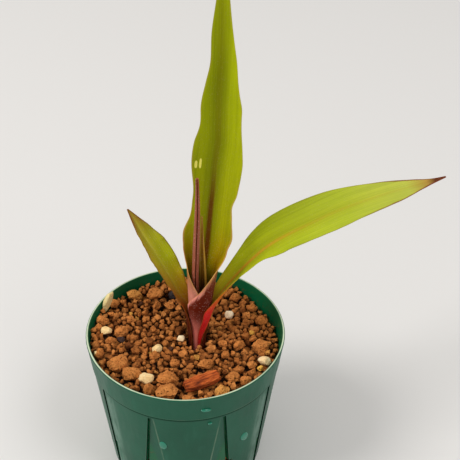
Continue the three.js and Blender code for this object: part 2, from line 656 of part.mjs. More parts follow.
// The blade's two ends are closed by strips between its faces, so nothing is left open.
function makeLeaf(leaf) {
  const rings = Array.from({ length: leaf.stations + 1 }, (_, i) => leafRing(leaf, i / leaf.stations));
  const n = rings[0].length;
  const points = rings.flat();
  const triangles = [];
  for (let r = 0; r + 1 < rings.length; r++) {
    for (let i = 0; i < n; i++) {
      const a = r * n + i;
      const b = r * n + ((i + 1) % n);
      const upper = i < leaf.across;
      if (upper) triangles.push([a, b, b + n], [a, b + n, a + n]);
      else triangles.push([a, b, a + n], [b, b + n, a + n]);
    }
  }
  const lastRing = (rings.length - 1) * n;
  for (let i = 0; i < leaf.across; i++) {
    const [a, b] = [i, i + 1];
    const [c, d] = [n - 1 - i, n - 2 - i];
    triangles.push([b, a, c], [b, c, d]);
    triangles.push([lastRing + a, lastRing + b, lastRing + c], [lastRing + b, lastRing + d, lastRing + c]);
  }
  return bodyFrom(points, triangles);
}

function piece(name, geometry, colour, roughness) {
  const flat = geometry.clone();
  flat.computeVertexNormals();
  const material = new THREE.MeshStandardMaterial({ color: colour, roughness, metalness: 0 });
  const mesh = new THREE.Mesh(flat, material);
  mesh.name = name;
  return mesh;
}

const plant = new THREE.Group();
const rootCutters = Array.from({ length: ROOT_COUNT }, (_, i) => rootBody(i, STONE_CLEARANCE));
plant.add(piece("pot", makePot(), 0x1f5a43, 0.45));
plant.add(piece("soil", makeSoil(rootCutters), 0xa5643a, 0.95));
plant.add(piece("rootstock", makeRootstock(), 0x6b4a33, 0.9));
for (const leaf of LEAVES) plant.add(piece(leaf.name, makeLeaf(leaf), leaf.colour, 0.5));
for (const stone of STONES) plant.add(piece(stone.name, stoneShape(stone, 0), 0xe8cb98, 0.85));
plant.add(piece("bark_chip", barkChip(0), 0x8a4a30, 0.9));

export default plant;
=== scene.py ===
"""Young pitcairnia sanguinea in a green slit nursery pot filled with baked clay granules.

Metres, +Z up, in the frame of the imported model. The tall leaf's upper face looks to -Y and the
long leaf points along +X.
"""

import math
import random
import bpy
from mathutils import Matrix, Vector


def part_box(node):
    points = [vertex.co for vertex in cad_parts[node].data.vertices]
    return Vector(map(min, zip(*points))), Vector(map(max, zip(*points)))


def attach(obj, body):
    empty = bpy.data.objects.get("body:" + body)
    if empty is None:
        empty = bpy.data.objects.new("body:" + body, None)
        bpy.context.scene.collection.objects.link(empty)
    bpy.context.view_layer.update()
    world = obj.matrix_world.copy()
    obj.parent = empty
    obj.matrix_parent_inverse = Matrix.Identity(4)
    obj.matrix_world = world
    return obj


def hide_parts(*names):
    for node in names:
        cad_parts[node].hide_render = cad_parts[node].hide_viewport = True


bl_info = {
    "name": "Potted pitcairnia",
    "version": (1, 0, 0),
    "blender": (4, 5, 0),
    "location": "View3D > Sidebar > Pitcairnia",
    "description": "Builds a young pitcairnia sanguinea in its nursery pot",
    "category": "Add Mesh",
}

import bpy
from bpy.props import FloatProperty, FloatVectorProperty, IntProperty, PointerProperty, StringProperty
from mathutils import Matrix, Vector, noise

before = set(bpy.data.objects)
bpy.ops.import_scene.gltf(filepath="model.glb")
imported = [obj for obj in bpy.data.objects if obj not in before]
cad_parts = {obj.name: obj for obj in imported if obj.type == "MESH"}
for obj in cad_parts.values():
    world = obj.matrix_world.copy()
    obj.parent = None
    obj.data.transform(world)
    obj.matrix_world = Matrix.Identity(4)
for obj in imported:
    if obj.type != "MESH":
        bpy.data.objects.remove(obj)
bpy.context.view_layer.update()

MM = 0.001
POT_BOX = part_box("pot")

# The pot, in metres. Its four faceted panels face -Y, +X, +Y and -X.
POT_WALL = 1.2 * MM
POT_FLOOR = 1.5 * MM
WALL_TAPER = 0.125
BAND_BOTTOM = 61.4 * MM
BAND_STEP = 0.25 * MM
FACET_TOP = 59.5 * MM
FACET_BOTTOM = 8 * MM
# A panel: half its width at the top and at the base, its grooves' widths there, and how deep its
# flat faces lie at the base. PANELS gives each one the direction that it faces.
FRONT_PANEL = ((16.8 * MM, 20.2 * MM), (0.95 * MM, 0.95 * MM), 1.6 * MM)
SIDE_PANEL = ((22.8 * MM, 17.2 * MM), (1.5 * MM, 2.6 * MM), 0.15 * MM)
PANELS = [
    (math.radians(270), *FRONT_PANEL), (0, *SIDE_PANEL),
    (math.radians(90), *FRONT_PANEL), (math.radians(180), *SIDE_PANEL),
]
GROOVE_WIDTH = 0.95 * MM
GROOVE_DRAFT = 0.12 * MM
GROOVE_DEPTH = (1.2 * MM, 3 * MM)
FACET_SINK_TOP = 0.1 * MM
CREASE_GAP_TOP = 2.2 * MM
CREASE_OFFSET_BASE = 7.4 * MM
SLIT_WIDTH = 2.6 * MM
SLIT_HEIGHT = 24.5 * MM
SLIT_REACH = 14 * MM
# Beads of water: turn in degrees, height, width and length in millimetres, and lean in degrees.
# Each stands out by DROP_RISE from a middle that lies DROP_OFFSET off the wall.
DROPS = [
    (-105.2, 42, 3.4, 4.8, 12), (-50.2, 37.3, 4.4, 5.2, 24), (-76.6, 57.7, 2, 0.9, 10),
    (-79.4, 67.7, 4.6, 1.6, -6),
]
DROP_RISE = 0.8 * MM
DROP_OFFSET = 0.05 * MM
# How finely the pot is laid out: rows up the wall, levels in the band, steps over the lip, and
# rings of the floor as shares of its radius.
WALL_ROWS = 24
BAND_LEVELS = (66 * MM, 71 * MM)
INNER_BAND_LEVEL = 68 * MM
LIP_STEPS = 8
FLOOR_SHARES = (0, 0.3, 0.6, 0.85)
# From one upright line of a panel to the next: columns, and whether the wall between them is
# flat or follows the round of the pot.
PANEL_SPANS = [
    (1, "flat"), (1, "flat"), (1, "flat"), (5, "flat"), (12, "round"), (5, "flat"), (1, "flat"),
    (1, "flat"), (1, "flat"), (24, "round"),
]

# The filling, in metres.
BED_LEVEL = 66.2 * MM
BED_RADIUS = 42.6 * MM
BED_SHOULDER = 0.6
BED_SHOULDER_RISE = 0.4
# How far the bed's edge stands above its middle, in millimetres, at each turn in degrees from the
# front.
EDGE_RISES = [
    (0, -1.9), (45, -1.6), (90, 0), (110, 0.3), (130, 1.6), (150, 3.2), (225, 3.2), (250, 4.8),
    (280, 5.2), (305, 2.6), (330, -0.4), (360, -1.9),
]
SOIL_CLEARANCE = 0.3 * MM
SURFACE_ABOVE_BED = 1.9 * MM
GRANULE_LAYERS = 4.2 * MM
BED_ROWS = 16
# The granules: how many forms they have, the radius from which a finer one is used, how many
# places each is offered, and how many may find none before the pot counts as full.
GRANULE_FORMS = 12
FINE_FROM = 1.3 * MM
PLACES_TRIED = 14
MISSES_ALLOWED = 1200
# About one whole turn, in radians.
FULL_TURN = 6.283
CROWN = Vector((5.2 * MM, 2.5 * MM))
SHEATH_RADIUS = 5.3 * MM
# The hole for the sheaths in the bed: its depth, and the height of its middle.
HOLE_DEPTH = 34 * MM
HOLE_MIDDLE = 63 * MM

# Larger lumps of clay: x, y, width and height in millimetres, turn in degrees, and tone from
# 0 dark to 1 pale. Their seeds count up from LUMP_SEED, and the middle of each lies below the
# surface by LUMP_SUNK of its height.
LUMP_SEED = 40
LUMP_SUNK = 0.16
LUMPS = [
    (-30.5, -16.1, 10.2, 9.5, 40, 0.55), (-24.3, -21.8, 9.6, 7.2, -12, 0.62),
    (-8.5, -22.8, 10.6, 6.4, 4, 0.5), (-8.6, -31.4, 10, 6.6, -8, 0.6), (-16.9, -29.4, 5.6, 6.4, 70, 0.62),
    (-38.5, -11.4, 5.6, 6, 60, 0.5), (-38, 10.4, 6.4, 5.4, 10, 0.55), (-29.5, 4.1, 7, 5.2, 25, 0.5),
    (-33.9, -2.3, 5.4, 4.6, 0, 0.5), (-24.3, 30.2, 8, 5.4, 20, 0.8), (-14.5, 31.4, 8.6, 6, 5, 0.5),
    (-13.5, 23.7, 5.4, 4.6, 50, 0.38), (-7.3, 23.9, 5.8, 4.8, 0, 0.55), (-14.1, -10.0, 5.4, 4.6, 30, 0.55),
    (-6.1, 31, 5, 4.6, 0, 0.0), (-22.7, -7.7, 4.8, 4.4, 0, 0.25), (-5.1, -13.7, 5.4, 4.6, 20, 0.5),
    (-29.3, -1.3, 4, 4, 0, 0.02), (33.9, -4.1, 10.8, 7.4, 10, 0.55), (24.4, -3.1, 6, 5.4, 40, 0.5),
    (8.8, -14.6, 7.8, 5, 15, 0.5), (20.1, -22.9, 6.8, 5.4, -20, 0.55), (15.3, -30.8, 7.6, 6, 15, 0.8),
    (29.3, -15.5, 5, 4.4, 10, 0.72), (35.8, 13, 6.6, 5.2, 0, 0.4), (23.5, 28, 6, 5, 20, 0.5),
    (11.8, -5.4, 5.2, 4.8, 0, 0.6), (26.2, -24.8, 6, 5, 30, 0.5), (2.0, 38.2, 6, 5, 0, 0.4),
    (14.0, 35.4, 5.6, 4.6, 30, 0.5), (1.0, -35.6, 6.6, 5, 0, 0.5), (-33.2, 23.4, 5.6, 4.8, 0, 0.6),
    (31.6, 21.6, 5.6, 4.6, 0, 0.45), (30.5, 4.6, 2.8, 2.6, 0, 1.0), (33, -18, 3.2, 2.8, 30, 1.0),
    (-1.2, -8.2, 4.6, 4, 15, 0.5), (17.6, -9.2, 4.8, 4.2, 60, 0.5), (31.6, 6.4, 5, 4.2, 15, 0.45),
]

# Loose pale stones: node, place and size in millimetres, turn in degrees, seed, and tone from
# 0 greenish cream through 0.5 yellow to 1 chalk white.
STONES = [
    ("pale_stone_leaning", (-36.2, 19.2, 75.8), (4, 3.4, 11.8), (8, 21, 42), 3, 0.0),
    ("pale_stone_left", (-36.1, 3.1, 72.3), (5.6, 4.2, 3.6), (0, 10, 20), 5, 0.5),
    ("pale_stone_middle", (-13, -6.2, 69.1), (4.8, 4.4, 5), (20, 10, 60), 8, 0.45),
    ("pale_stone_crown", (-2.4, 1.2, 68.2), (4, 3.6, 3.4), (0, 12, 30), 11, 0.8),
    ("pale_stone_front", (-17.7, -24.5, 68.5), (7.6, 5.6, 5.2), (0, -8, 10), 14, 0.55),
    ("pale_stone_right", (20.5, 15.8, 69.3), (4, 4, 5), (12, 0, 40), 17, 1.0),
    ("pale_stone_edge", (-39.6, -11.8, 71.7), (2.6, 3.2, 3.2), (0, 0, 15), 20, 0.4),
    ("pale_stone_cluster", (35.3, -14.3, 67.6), (5, 6, 4.2), (0, 14, 50), 23, 0.7),
]

# The bark chip, in millimetres and degrees.
BARK_MIDDLE = (6.8, -26.5, 68.1)
BARK_SIZE = (16.5, 7, 3.6)
BARK_TURN = 21
BARK_RISE = 5


def even_rows(rows):
    """Full rows from x, y, z, half width and roll radius, for a leaf alike on both sides."""
    return [(x, y, z, half, half, roll, roll, 0, 0) for x, y, z, half, roll in rows]


# Leaves, in millimetres and degrees. Each row is one place along the middle line, from the foot
# of the sheath to the tip: x, y, z; half width on the plus side and the minus side, measured
# along the surface; roll radius on each side; fold at the middle line and twist about it.
LEAVES = {
    "leaf_tall_back": {
        "bearing": 80, "stations": 190, "across": 32, "slot": "green_leaf",
        "rows": [
            (5.6, 4.8, 61, 5.4, 9.5, 2.2, 2.4, 0, 0),
            (5.6, 4.8, 67, 5.4, 9.5, 2.2, 2.4, 0, 0),
            (6.0, 5.4, 72, 7.0, 12.8, 2.4, 2.95, 0, 0),
            (6.4, 6.1, 76, 9.4, 16.4, 3.05, 3.65, 0, 0),
            (6.8, 6.9, 80, 11.6, 19.6, 3.7, 4.35, 0, 0),
            (7.1, 7.7, 85, 14.6, 23.2, 4.5, 5.05, 0, 0),
            (7.4, 8.1, 91, 16.2, 21.3, 5.0, 5.5, 0, 0),
            (7.8, 8.4, 97, 17.0, 19.0, 5.5, 5.95, 0, 0),
            (8.4, 8.5, 104, 14.4, 16.2, 6.2, 6.4, 0, 0),
            (9.2, 8.9, 110, 11.9, 12.2, 7.9, 7.2, 0, 0),
            (9.9, 9.4, 116, 11.3, 10.5, 14, 12, 0, 0),
            (10.4, 10.0, 122, 11.1, 11.3, 22, 20, 0, 0),
            (11.0, 10.8, 129, 8.6, 10.3, 30, 26, 0, 0),
            (11.6, 11.7, 136, 8.1, 9.5, 34, 30, 0, 0),
            (12.3, 12.6, 143, 8.4, 11.1, 36, 32, 0, 0),
            (13.2, 14.5, 154, 10.0, 12.1, 36, 34, 0, 0),
            (14.4, 16.2, 163, 9.9, 10.7, 34, 34, 0, 0),
            (14.7, 18.0, 171, 7.7, 9.8, 34, 34, 0, 0),
            (14.8, 19.9, 179, 7.4, 9.7, 32, 32, 0, 0),
            (15.2, 21.7, 187, 6.0, 8.1, 30, 30, 0, 0),
            (15.7, 24.0, 196, 4.4, 6.6, 28, 28, 0, 0),
            (16.1, 27.2, 208, 4.2, 4.4, 26, 26, 0, 0),
            (16.3, 31.2, 222, 2.3, 2.8, 24, 24, 0, 0),
            (16.4, 36.0, 236, 1.2, 1.4, 22, 22, 0, 0),
            (16.4, 41.0, 249, 0.35, 0.35, 20, 20, 0, 0),
        ],
    },
    "leaf_long_right": {
        "bearing": 14, "stations": 150, "across": 28, "slot": "green_leaf",
        "rows": [
            (8.4, 3.3, 61, 5.8, 5.9, 3.3, 3.3, 0, 0),
            (8.4, 3.3, 67, 5.8, 5.9, 3.3, 3.3, 0, 0),
            (8.9, 3.4, 72, 6.0, 6.3, 3.6, 3.6, 0, 0),
            (9.9, 3.6, 76, 6.4, 7.0, 4.15, 4.15, 0, 0),
            (11.0, 3.8, 80, 6.0, 7.8, 4.9, 4.9, 0, 0),
            (12.3, 4.1, 84.5, 5.0, 8.4, 5.6, 5.2, 0, 0),
            (14.2, 4.5, 88.5, 4.6, 7.0, 6, 4.7, 0, 4),
            (19.0, 5.6, 95.8, 5.2, 5.5, 7, 4.8, 6, 10),
            (24.4, 6.7, 102.5, 6.2, 5.0, 10, 7, 12, 15),
            (28.9, 7.6, 107.4, 7.4, 5.4, 13, 11, 13, 18),
            (35.3, 9.0, 113.3, 9.4, 7.0, 20, 18, 12, 22),
            (42.7, 10.6, 117.8, 11.0, 8.3, 32, 32, 10, 24),
            (55.0, 13.2, 123.2, 11.3, 8.6, 50, 50, 8, 25),
            (68.1, 16.0, 128.4, 9.8, 8.6, 60, 60, 8, 25),
            (85.9, 19.8, 133.1, 6.4, 7.0, 60, 60, 8, 22),
            (99.4, 22.6, 135.7, 3.6, 4.4, 60, 60, 8, 20),
            (108.5, 24.6, 137.2, 1.3, 1.8, 60, 60, 8, 20),
            (115.7, 26.0, 138.8, 0.35, 0.35, 60, 60, 0, 20),
        ],
    },
    "leaf_short_left": {
        "bearing": 140, "stations": 110, "across": 28, "slot": "green_leaf",
        "rows": [
            (2.4, 4.9, 61, 6.0, 13.6, 3.8, 3.8, 0, 0),
            (2.4, 4.9, 67, 6.0, 13.6, 3.8, 3.8, 0, 0),
            (2.1, 5.3, 72, 6.8, 13.6, 4.3, 4.3, 0, 0),
            (1.9, 6.0, 76.5, 7.3, 12.4, 4.9, 4.9, 0, 0),
            (1.4, 6.8, 80.5, 7.1, 8.4, 5.3, 5.3, 0, 0),
            (0.0, 8.2, 84.5, 6.0, 5.8, 6.0, 6.6, 2, 0),
            (-3.0, 9.7, 88.6, 5.0, 5.2, 9, 9, 9, 2),
            (-5.5, 11.7, 92.8, 5.7, 6.4, 13, 14, 12, 5),
            (-8.1, 13.9, 96.8, 6.3, 7.6, 18, 22, 13, 8),
            (-11.2, 16.5, 101.5, 6.7, 8.2, 25, 30, 13, 8),
            (-14.4, 19.2, 106.3, 6.4, 8.2, 30, 36, 12, 8),
            (-17.7, 22.0, 110.6, 5.0, 6.8, 34, 40, 10, 8),
            (-21.2, 25.0, 115.8, 2.8, 3.9, 36, 40, 8, 6),
            (-25.2, 28.5, 121.7, 0.35, 0.35, 36, 40, 0, 6),
        ],
    },
    "leaf_young_spear": {
        "bearing": 90, "stations": 80, "across": 16, "slot": "young_leaf",
        "rows": even_rows([
            (5.2, 3.12, 61, 1.85, 0.62), (5.2, 3.2, 67, 1.85, 0.62), (6.0, 3.75, 76, 2.05, 0.68),
            (6.2, 3.95, 80, 2.6, 0.88), (5.2, 3.7, 86, 3.4, 1.15), (4.9, 3.4, 92, 3.7, 1.25),
            (4.6, 3.0, 98, 3.85, 1.3), (4.5, 2.7, 104, 3.85, 1.3), (4.8, 2.9, 113, 3.8, 1.28),
            (5.0, 3.1, 121, 3.6, 1.22), (5.4, 3.3, 131, 3.1, 1.06), (5.6, 3.4, 140, 2.3, 0.8),
            (5.6, 3.4, 148, 1.4, 0.52), (5.5, 3.4, 154, 0.9, 0.4),
        ]),
    },
    "leaf_inner_folded": {
        "bearing": 40, "stations": 64, "across": 14, "slot": "young_leaf",
        "rows": even_rows([
            (6.3, 3.45, 61, 4.1, 1.45), (6.3, 3.5, 67, 4.1, 1.45), (7.2, 4.05, 76, 3.4, 1.5),
            (7.8, 4.35, 80, 3.5, 1.8), (8.2, 4.95, 86, 3.7, 2.1), (8.9, 5.0, 92, 3.3, 1.9),
            (9.0, 4.7, 98, 2.8, 1.7), (8.8, 4.5, 104, 2.4, 1.5), (8.4, 4.4, 112, 1.9, 1.2),
            (7.9, 4.4, 120, 1.3, 1.0), (7.6, 4.4, 128, 0.8, 0.9), (7.4, 4.5, 134, 0.35, 0.9),
        ]),
    },
}


class PotSettings(bpy.types.PropertyGroup):
    rim_radius: FloatProperty(
        name="Rim radius", description="Outer radius of the pot at its lip",
        default=POT_BOX[1].x, unit="LENGTH")
    height: FloatProperty(
        name="Height", description="Height of the pot from its foot to its lip",
        default=POT_BOX[1].z, unit="LENGTH")
    colour: FloatVectorProperty(
        name="Plastic", description="Colour of the moulded plastic",
        default=(0.007, 0.098, 0.052), subtype="COLOR", min=0, max=1)
    # The lip colour is a painted highlight: laid on the top of the lip, above the band's lower edge, beside
    # the grooves and along the creases.
    lip_highlight: FloatVectorProperty(
        name="Rubbed lip", description="Colour of the rubbed edge of the lip",
        default=(0.62, 0.72, 0.5), subtype="COLOR", min=0, max=1)


class FillingSettings(bpy.types.PropertyGroup):
    granule_size: FloatProperty(
        name="Granule size", description="Width of a small clay granule",
        default=2.1 * MM, unit="LENGTH")
    granule_spread: FloatProperty(
        name="Size spread", description="How much wider the largest granule is than the smallest",
        default=1.1, min=0)
    seed: IntProperty(name="Seed", description="Seed of the granules' places and shapes", default=7)
    clay: FloatVectorProperty(
        name="Clay", description="Colour of the baked clay",
        default=(0.66, 0.235, 0.056), subtype="COLOR", min=0, max=1)


class LeafSettings(bpy.types.PropertyGroup):
    thickness: FloatProperty(
        name="Thickness", description="Thickness of a blade at its middle", default=0.5 * MM, unit="LENGTH")
    margin_share: FloatProperty(
        name="Margin share", description="Thickness of the margin as a share of the middle",
        default=0.45, min=0.1, max=1)
    rib_depth: FloatProperty(
        name="Rib depth", description="Depth of the channel over the middle line",
        default=0.22 * MM, unit="LENGTH")


class StageSettings(bpy.types.PropertyGroup):
    floor_colour: FloatVectorProperty(
        name="Floor", description="Colour of the floor", default=(0.8, 0.785, 0.765),
        subtype="COLOR", min=0, max=1)
    key_power: FloatProperty(
        name="Key light", description="Power of the main light", default=27.2, unit="POWER")
    fill_power: FloatProperty(
        name="Fill light", description="Power of the second light", default=12.5, unit="POWER")
    sky: FloatProperty(name="Sky", description="Strength of the light from all round", default=0.523)
    lens: FloatProperty(
        name="Lens", description="Focal length of the camera in millimetres", default=78.26, min=10)


SETTINGS = {
    "pitcairnia_pot": PotSettings,
    "pitcairnia_filling": FillingSettings,
    "pitcairnia_leaf": LeafSettings,
    "pitcairnia_stage": StageSettings,
}


# Small helpers for numbers and meshes.


def mix(a, b, share):
    return a + (b - a) * share


def clamp(value, low=0.0, high=1.0):
    return max(low, min(high, value))


def tinted(colour, by):
    return tuple(v * f for v, f in zip(colour, by))


def ease(low, high, value):
    t = clamp((value - low) / (high - low))
    return t * t * (3 - 2 * t)


def fresh(add, **values):
    """A new primitive, alone in the selection."""
    bpy.ops.object.select_all(action="DESELECT")
    add(**values)
    return bpy.context.object


def pick(*pieces):
    """Selects these pieces alone and makes the first one active."""
    bpy.ops.object.select_all(action="DESELECT")
    for piece in pieces:
        piece.select_set(True)
    bpy.context.view_layer.objects.active = pieces[0]


def join(name, pieces):
    """Makes one piece of several, which keeps the place and turn of the first."""
    pick(*pieces)
    bpy.ops.object.join()
    joined = bpy.context.object
    joined.name = joined.data.name = name
    return joined


def place_piece(piece, at, turn):
    """Puts a piece at a point, in metres, turned by degrees about X, Y and Z."""
    piece.location = at
    piece.rotation_euler = [math.radians(a) for a in turn]
    pick(piece)
    bpy.ops.object.transform_apply(location=True, rotation=True, scale=True)


def lay_grid(name, columns, rows, place):
    """A primitive grid whose point in column i and row j is moved to place(i, j)."""
    piece = fresh(bpy.ops.mesh.primitive_grid_add, x_subdivisions=columns, y_subdivisions=rows, calc_uvs=True)
    piece.name = piece.data.name = name
    for index, vertex in enumerate(piece.data.vertices):
        vertex.co = place(index % (columns + 1), index // (columns + 1))
    piece.data.update()
    return piece


def edit(piece, *steps):
    """Runs edit-mode steps on the whole of one piece."""
    pick(piece)
    bpy.ops.object.mode_set(mode="EDIT")
    bpy.ops.mesh.select_all(action="SELECT")
    for step in steps:
        step()
    bpy.ops.object.mode_set(mode="OBJECT")


def weld(piece):
    """Closes the seams of a laid grid and turns all its faces outwards."""
    edit(
        piece,
        lambda: bpy.ops.mesh.remove_doubles(threshold=1e-7),
        lambda: bpy.ops.mesh.normals_make_consistent(inside=False),
    )


def finish_with(piece, kind, **values):
    """Adds a modifier to the piece and applies it."""
    pick(piece)
    bpy.ops.object.modifier_add(type=kind)
    modifier = piece.modifiers[-1]
    for key, value in values.items():
        setattr(modifier, key, value)
    bpy.ops.object.modifier_apply(modifier=modifier.name)


def cut_away(piece, cutter):
    """Takes the cutter's form out of the piece, and the cutter out of the scene."""
    finish_with(piece, "BOOLEAN", object=cutter, operation="DIFFERENCE", solver="EXACT")
    bpy.data.objects.remove(cutter)


def smooth(piece, degrees):
    """Shades the piece smooth where its faces meet at less than this angle."""
    pick(piece)
    bpy.ops.object.shade_smooth_by_angle(angle=math.radians(degrees))


def settle(piece, slot, *nodes, material=None):
    """Gives a finished piece its place in the model."""
    if material:
        piece.data.materials.clear()
        piece.data.materials.append(material)
    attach(piece, "root")
    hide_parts(*nodes)


def mark(piece, name, values, kind="FLOAT"):
    """Stores one value for each point of the piece."""
    attribute = piece.data.attributes.new(name, kind, "POINT")
    attribute.data.foreach_set("vector" if kind == "FLOAT_VECTOR" else "value", values)


class Nodes:
    """Short calls for building a shader tree."""

    def __init__(self, tree):
        self.tree = tree

    def node(self, kind, **values):
        made = self.tree.nodes.new(kind)
        for key, value in values.items():
            setattr(made, key, value)
        return made

    def feed(self, socket, value):
        if isinstance(value, bpy.types.NodeSocket):
            self.tree.links.new(value, socket)
        elif value is not None:
            socket.default_value = value

    def feed_all(self, made, *values):
        """Feeds the node's inputs in their order and returns the node."""
        for socket, value in zip(made.inputs, values):
            self.feed(socket, value)
        return made

    def math(self, operation, a, b=None, c=None, clamped=False):
        made = self.node("ShaderNodeMath", operation=operation, use_clamp=clamped)
        return self.feed_all(made, a, b, c).outputs[0]

    def add(self, a, b):
        return self.math("ADD", a, b)

    def sub(self, a, b):
        return self.math("SUBTRACT", a, b)

    def mul(self, first, *others):
        for other in others:
            first = self.math("MULTIPLY", first, other)
        return first

    def most(self, first, *others):
        for other in others:
            first = self.math("MAXIMUM", first, other)
        return first

    def scaled(self, value, by, plus):
        return self.math("MULTIPLY_ADD", value, by, plus)

    def blend(self, factor, a, b, kind="MIX"):
        made = self.node("ShaderNodeMix", data_type="RGBA", blend_type=kind, clamp_factor=True)
        colours = [v if isinstance(v, bpy.types.NodeSocket) else (*v, 1)[:4] for v in (a, b)]
        for index, value in zip((0, 6, 7), (factor, *colours)):
            self.feed(made.inputs[index], value)
        return made.outputs[2]

    def times(self, factor, colour, by):
        """The colour multiplied by another, as far as factor says."""
        return self.blend(factor, colour, by, "MULTIPLY")

    def span(self, value, low, high, to_low=0.0, to_high=1.0):
        made = self.node("ShaderNodeMapRange", interpolation_type="SMOOTHSTEP")
        return self.feed_all(made, value, low, high, to_low, to_high).outputs[0]

    def fade(self, value, low, high):
        """1 up to low, falling to 0 at high."""
        return self.span(value, low, high, 1.0, 0.0)

    def ramp(self, value, stops):
        made = self.node("ShaderNodeValToRGB")
        elements = made.color_ramp.elements
        while len(elements) < len(stops):
            elements.new(0.5)
        for element, (place, colour) in zip(elements, stops):
            element.position = place
            element.color = (*colour, 1)
        return self.feed_all(made, value).outputs[0]

    def vector(self, x, y, z):
        return self.feed_all(self.node("ShaderNodeCombineXYZ"), x, y, z).outputs[0]

    def split(self, vector):
        return self.feed_all(self.node("ShaderNodeSeparateXYZ"), vector).outputs

    def feed_named(self, made, **values):
        """Feeds the node's inputs by their names and returns its outputs."""
        for name, value in values.items():
            self.feed(made.inputs[name], value)
        return made.outputs

    def noise(self, vector, scale, detail, roughness=0.5):
        made = self.node("ShaderNodeTexNoise")
        return self.feed_named(made, Vector=vector, Scale=scale, Detail=detail, Roughness=roughness)["Fac"]

    def cells(self, vector, scale):
        """Distance to the nearest of many scattered points, and a colour for each of them."""
        return self.feed_named(self.node("ShaderNodeTexVoronoi"), Vector=vector, Scale=scale)

    def place(self):
        return self.node("ShaderNodeTexCoord").outputs["Object"]

    def attribute(self, name, output="Fac"):
        return self.node("ShaderNodeAttribute", attribute_name=name).outputs[output]

    def group(self, tree, **values):
        return self.feed_named(self.node("ShaderNodeGroup", node_tree=tree), **values)

    def coat(self, skin, colour, relief, depth, strength):
        """Gives a Principled shader its colour, and a relief of this depth in metres."""
        made = self.node("ShaderNodeBump")
        bumped = self.feed_named(made, Height=relief, Distance=depth, Strength=strength)
        self.feed(skin["Base Color"], colour)
        self.feed(skin["Normal"], bumped[0])


def shader_group(name, inputs, outputs, fill):
    """The shader group of this name, made once. An input without a value is a vector.

    fill is called with the group's nodes and inputs, and gives the value of each output.
    """
    if name not in bpy.data.node_groups:
        tree = bpy.data.node_groups.new(name, "ShaderNodeTree")
        for label, default in inputs.items():
            kind = "NodeSocketVector" if default is None else "NodeSocketFloat"
            socket = tree.interface.new_socket(name=label, in_out="INPUT", socket_type=kind)
            if default is not None:
                socket.default_value = default
        for label in outputs:
            tree.interface.new_socket(name=label, in_out="OUTPUT", socket_type="NodeSocketFloat")
        n = Nodes(tree)
        given, out = n.node("NodeGroupInput").outputs, n.node("NodeGroupOutput").inputs
        for label, value in zip(outputs, fill(n, given)):
            n.feed(out[label], value)
    return bpy.data.node_groups[name]


def grit(n, given):
    """Rough fired or weathered stone: crumbs, fine grains, blotches and dark pits."""
    vector, grain = given["Vector"], given["Grain"]
    coarse = n.noise(vector, n.mul(grain, 0.3), 3.0, 0.6)
    fine = n.noise(vector, n.mul(grain, 1.6), 3.0, 0.7)
    crumb = n.cells(vector, grain)["Distance"]
    pit = n.span(n.noise(vector, n.mul(grain, 1.1), 2.0, 0.6), 0.58, 0.7)
    relief = n.sub(n.scaled(fine, 0.7, coarse), n.mul(crumb, 0.5))
    return n.sub(relief, n.mul(pit, 0.5)), n.span(coarse, 0.36, 0.64), pit


def grit_group():
    return shader_group("Grit", {"Vector": None, "Grain": 1000.0}, ("Height", "Blotch", "Pit"), grit)


def veins(n, given):
    """Fine parallel veins that run along a blade."""
    rib, _, along = n.split(given["Place"])
    across = n.math("DIVIDE", rib, given["Spacing"])
    line = n.vector(across, n.mul(along, 0.02), 0.0)
    broad = n.vector(n.mul(across, 0.22), n.mul(along, 0.012), 3.0)
    patch = n.vector(n.mul(rib, 0.12), n.mul(along, 0.05), 9.0)
    streak = n.span(n.noise(broad, 1.0, 3.0, 0.55), 0.32, 0.68)
    mottle = n.span(n.noise(patch, 1.0, 3.0, 0.6), 0.3, 0.7)
    return n.noise(line, 1.0, 2.0, 0.6), streak, mottle


def veins_group():
    return shader_group("Veins", {"Place": None, "Spacing": 0.6}, ("Vein", "Streak", "Mottle"), veins)


def scurf(n, given):
    """Pale scale-like specks that sit on a blade."""
    specks = n.cells(given["Vector"], given["Density"])
    size = given["Size"]
    dot = n.fade(specks["Distance"], size, n.add(size, 0.1))
    chosen = n.math("LESS_THAN", n.split(specks["Color"])[0], given["Cover"])
    return [n.mul(dot, chosen)]


def scurf_group():
    inputs = {"Vector": None, "Density": 900.0, "Cover": 0.3, "Size": 0.2}
    return shader_group("Scurf", inputs, ["Mask"], scurf)


def new_material(name, roughness=0.5, specular=0.5):
    """A procedural material, its nodes, and the inputs of its Principled shader."""
    material = bpy.data.materials.new(name)
    material.use_nodes = True
    skin = material.node_tree.nodes["Principled BSDF"].inputs
    skin["Roughness"].default_value = roughness
    skin["Specular IOR Level"].default_value = specular
    return material, Nodes(material.node_tree), skin


# The pot.

# Colours laid over the plastic: a dusty film, the inner face painted in shade, a painted reflection on the
# side walls, painted shade in the grooves and corners, and clay splashed inside.
PLASTIC_FILM = (0.07, 0.22, 0.15)
PLASTIC_SHADED_INSIDE = (0.002, 0.11, 0.04)
PLASTIC_PAINTED_SHEEN = (0.2, 0.33, 0.26)
PLASTIC_PAINTED_SHADE = (0.002, 0.012, 0.007)
CLAY_SPLASH = (0.10, 0.05, 0.02)


def outer_radius(settings, z):
    """Outer radius of the pot's wall at height z, without its grooves and flats."""
    step = 0 if z >= BAND_BOTTOM else BAND_STEP
    return settings.rim_radius - WALL_TAPER * (settings.height - z) - step


def water_material():
    """Clear water over green plastic, seen as a brighter green bead."""
    material, _, skin = new_material("Water bead", 0.12, 0.6)
    skin["Base Color"].default_value = (0.012, 0.2, 0.12, 1)
    return material


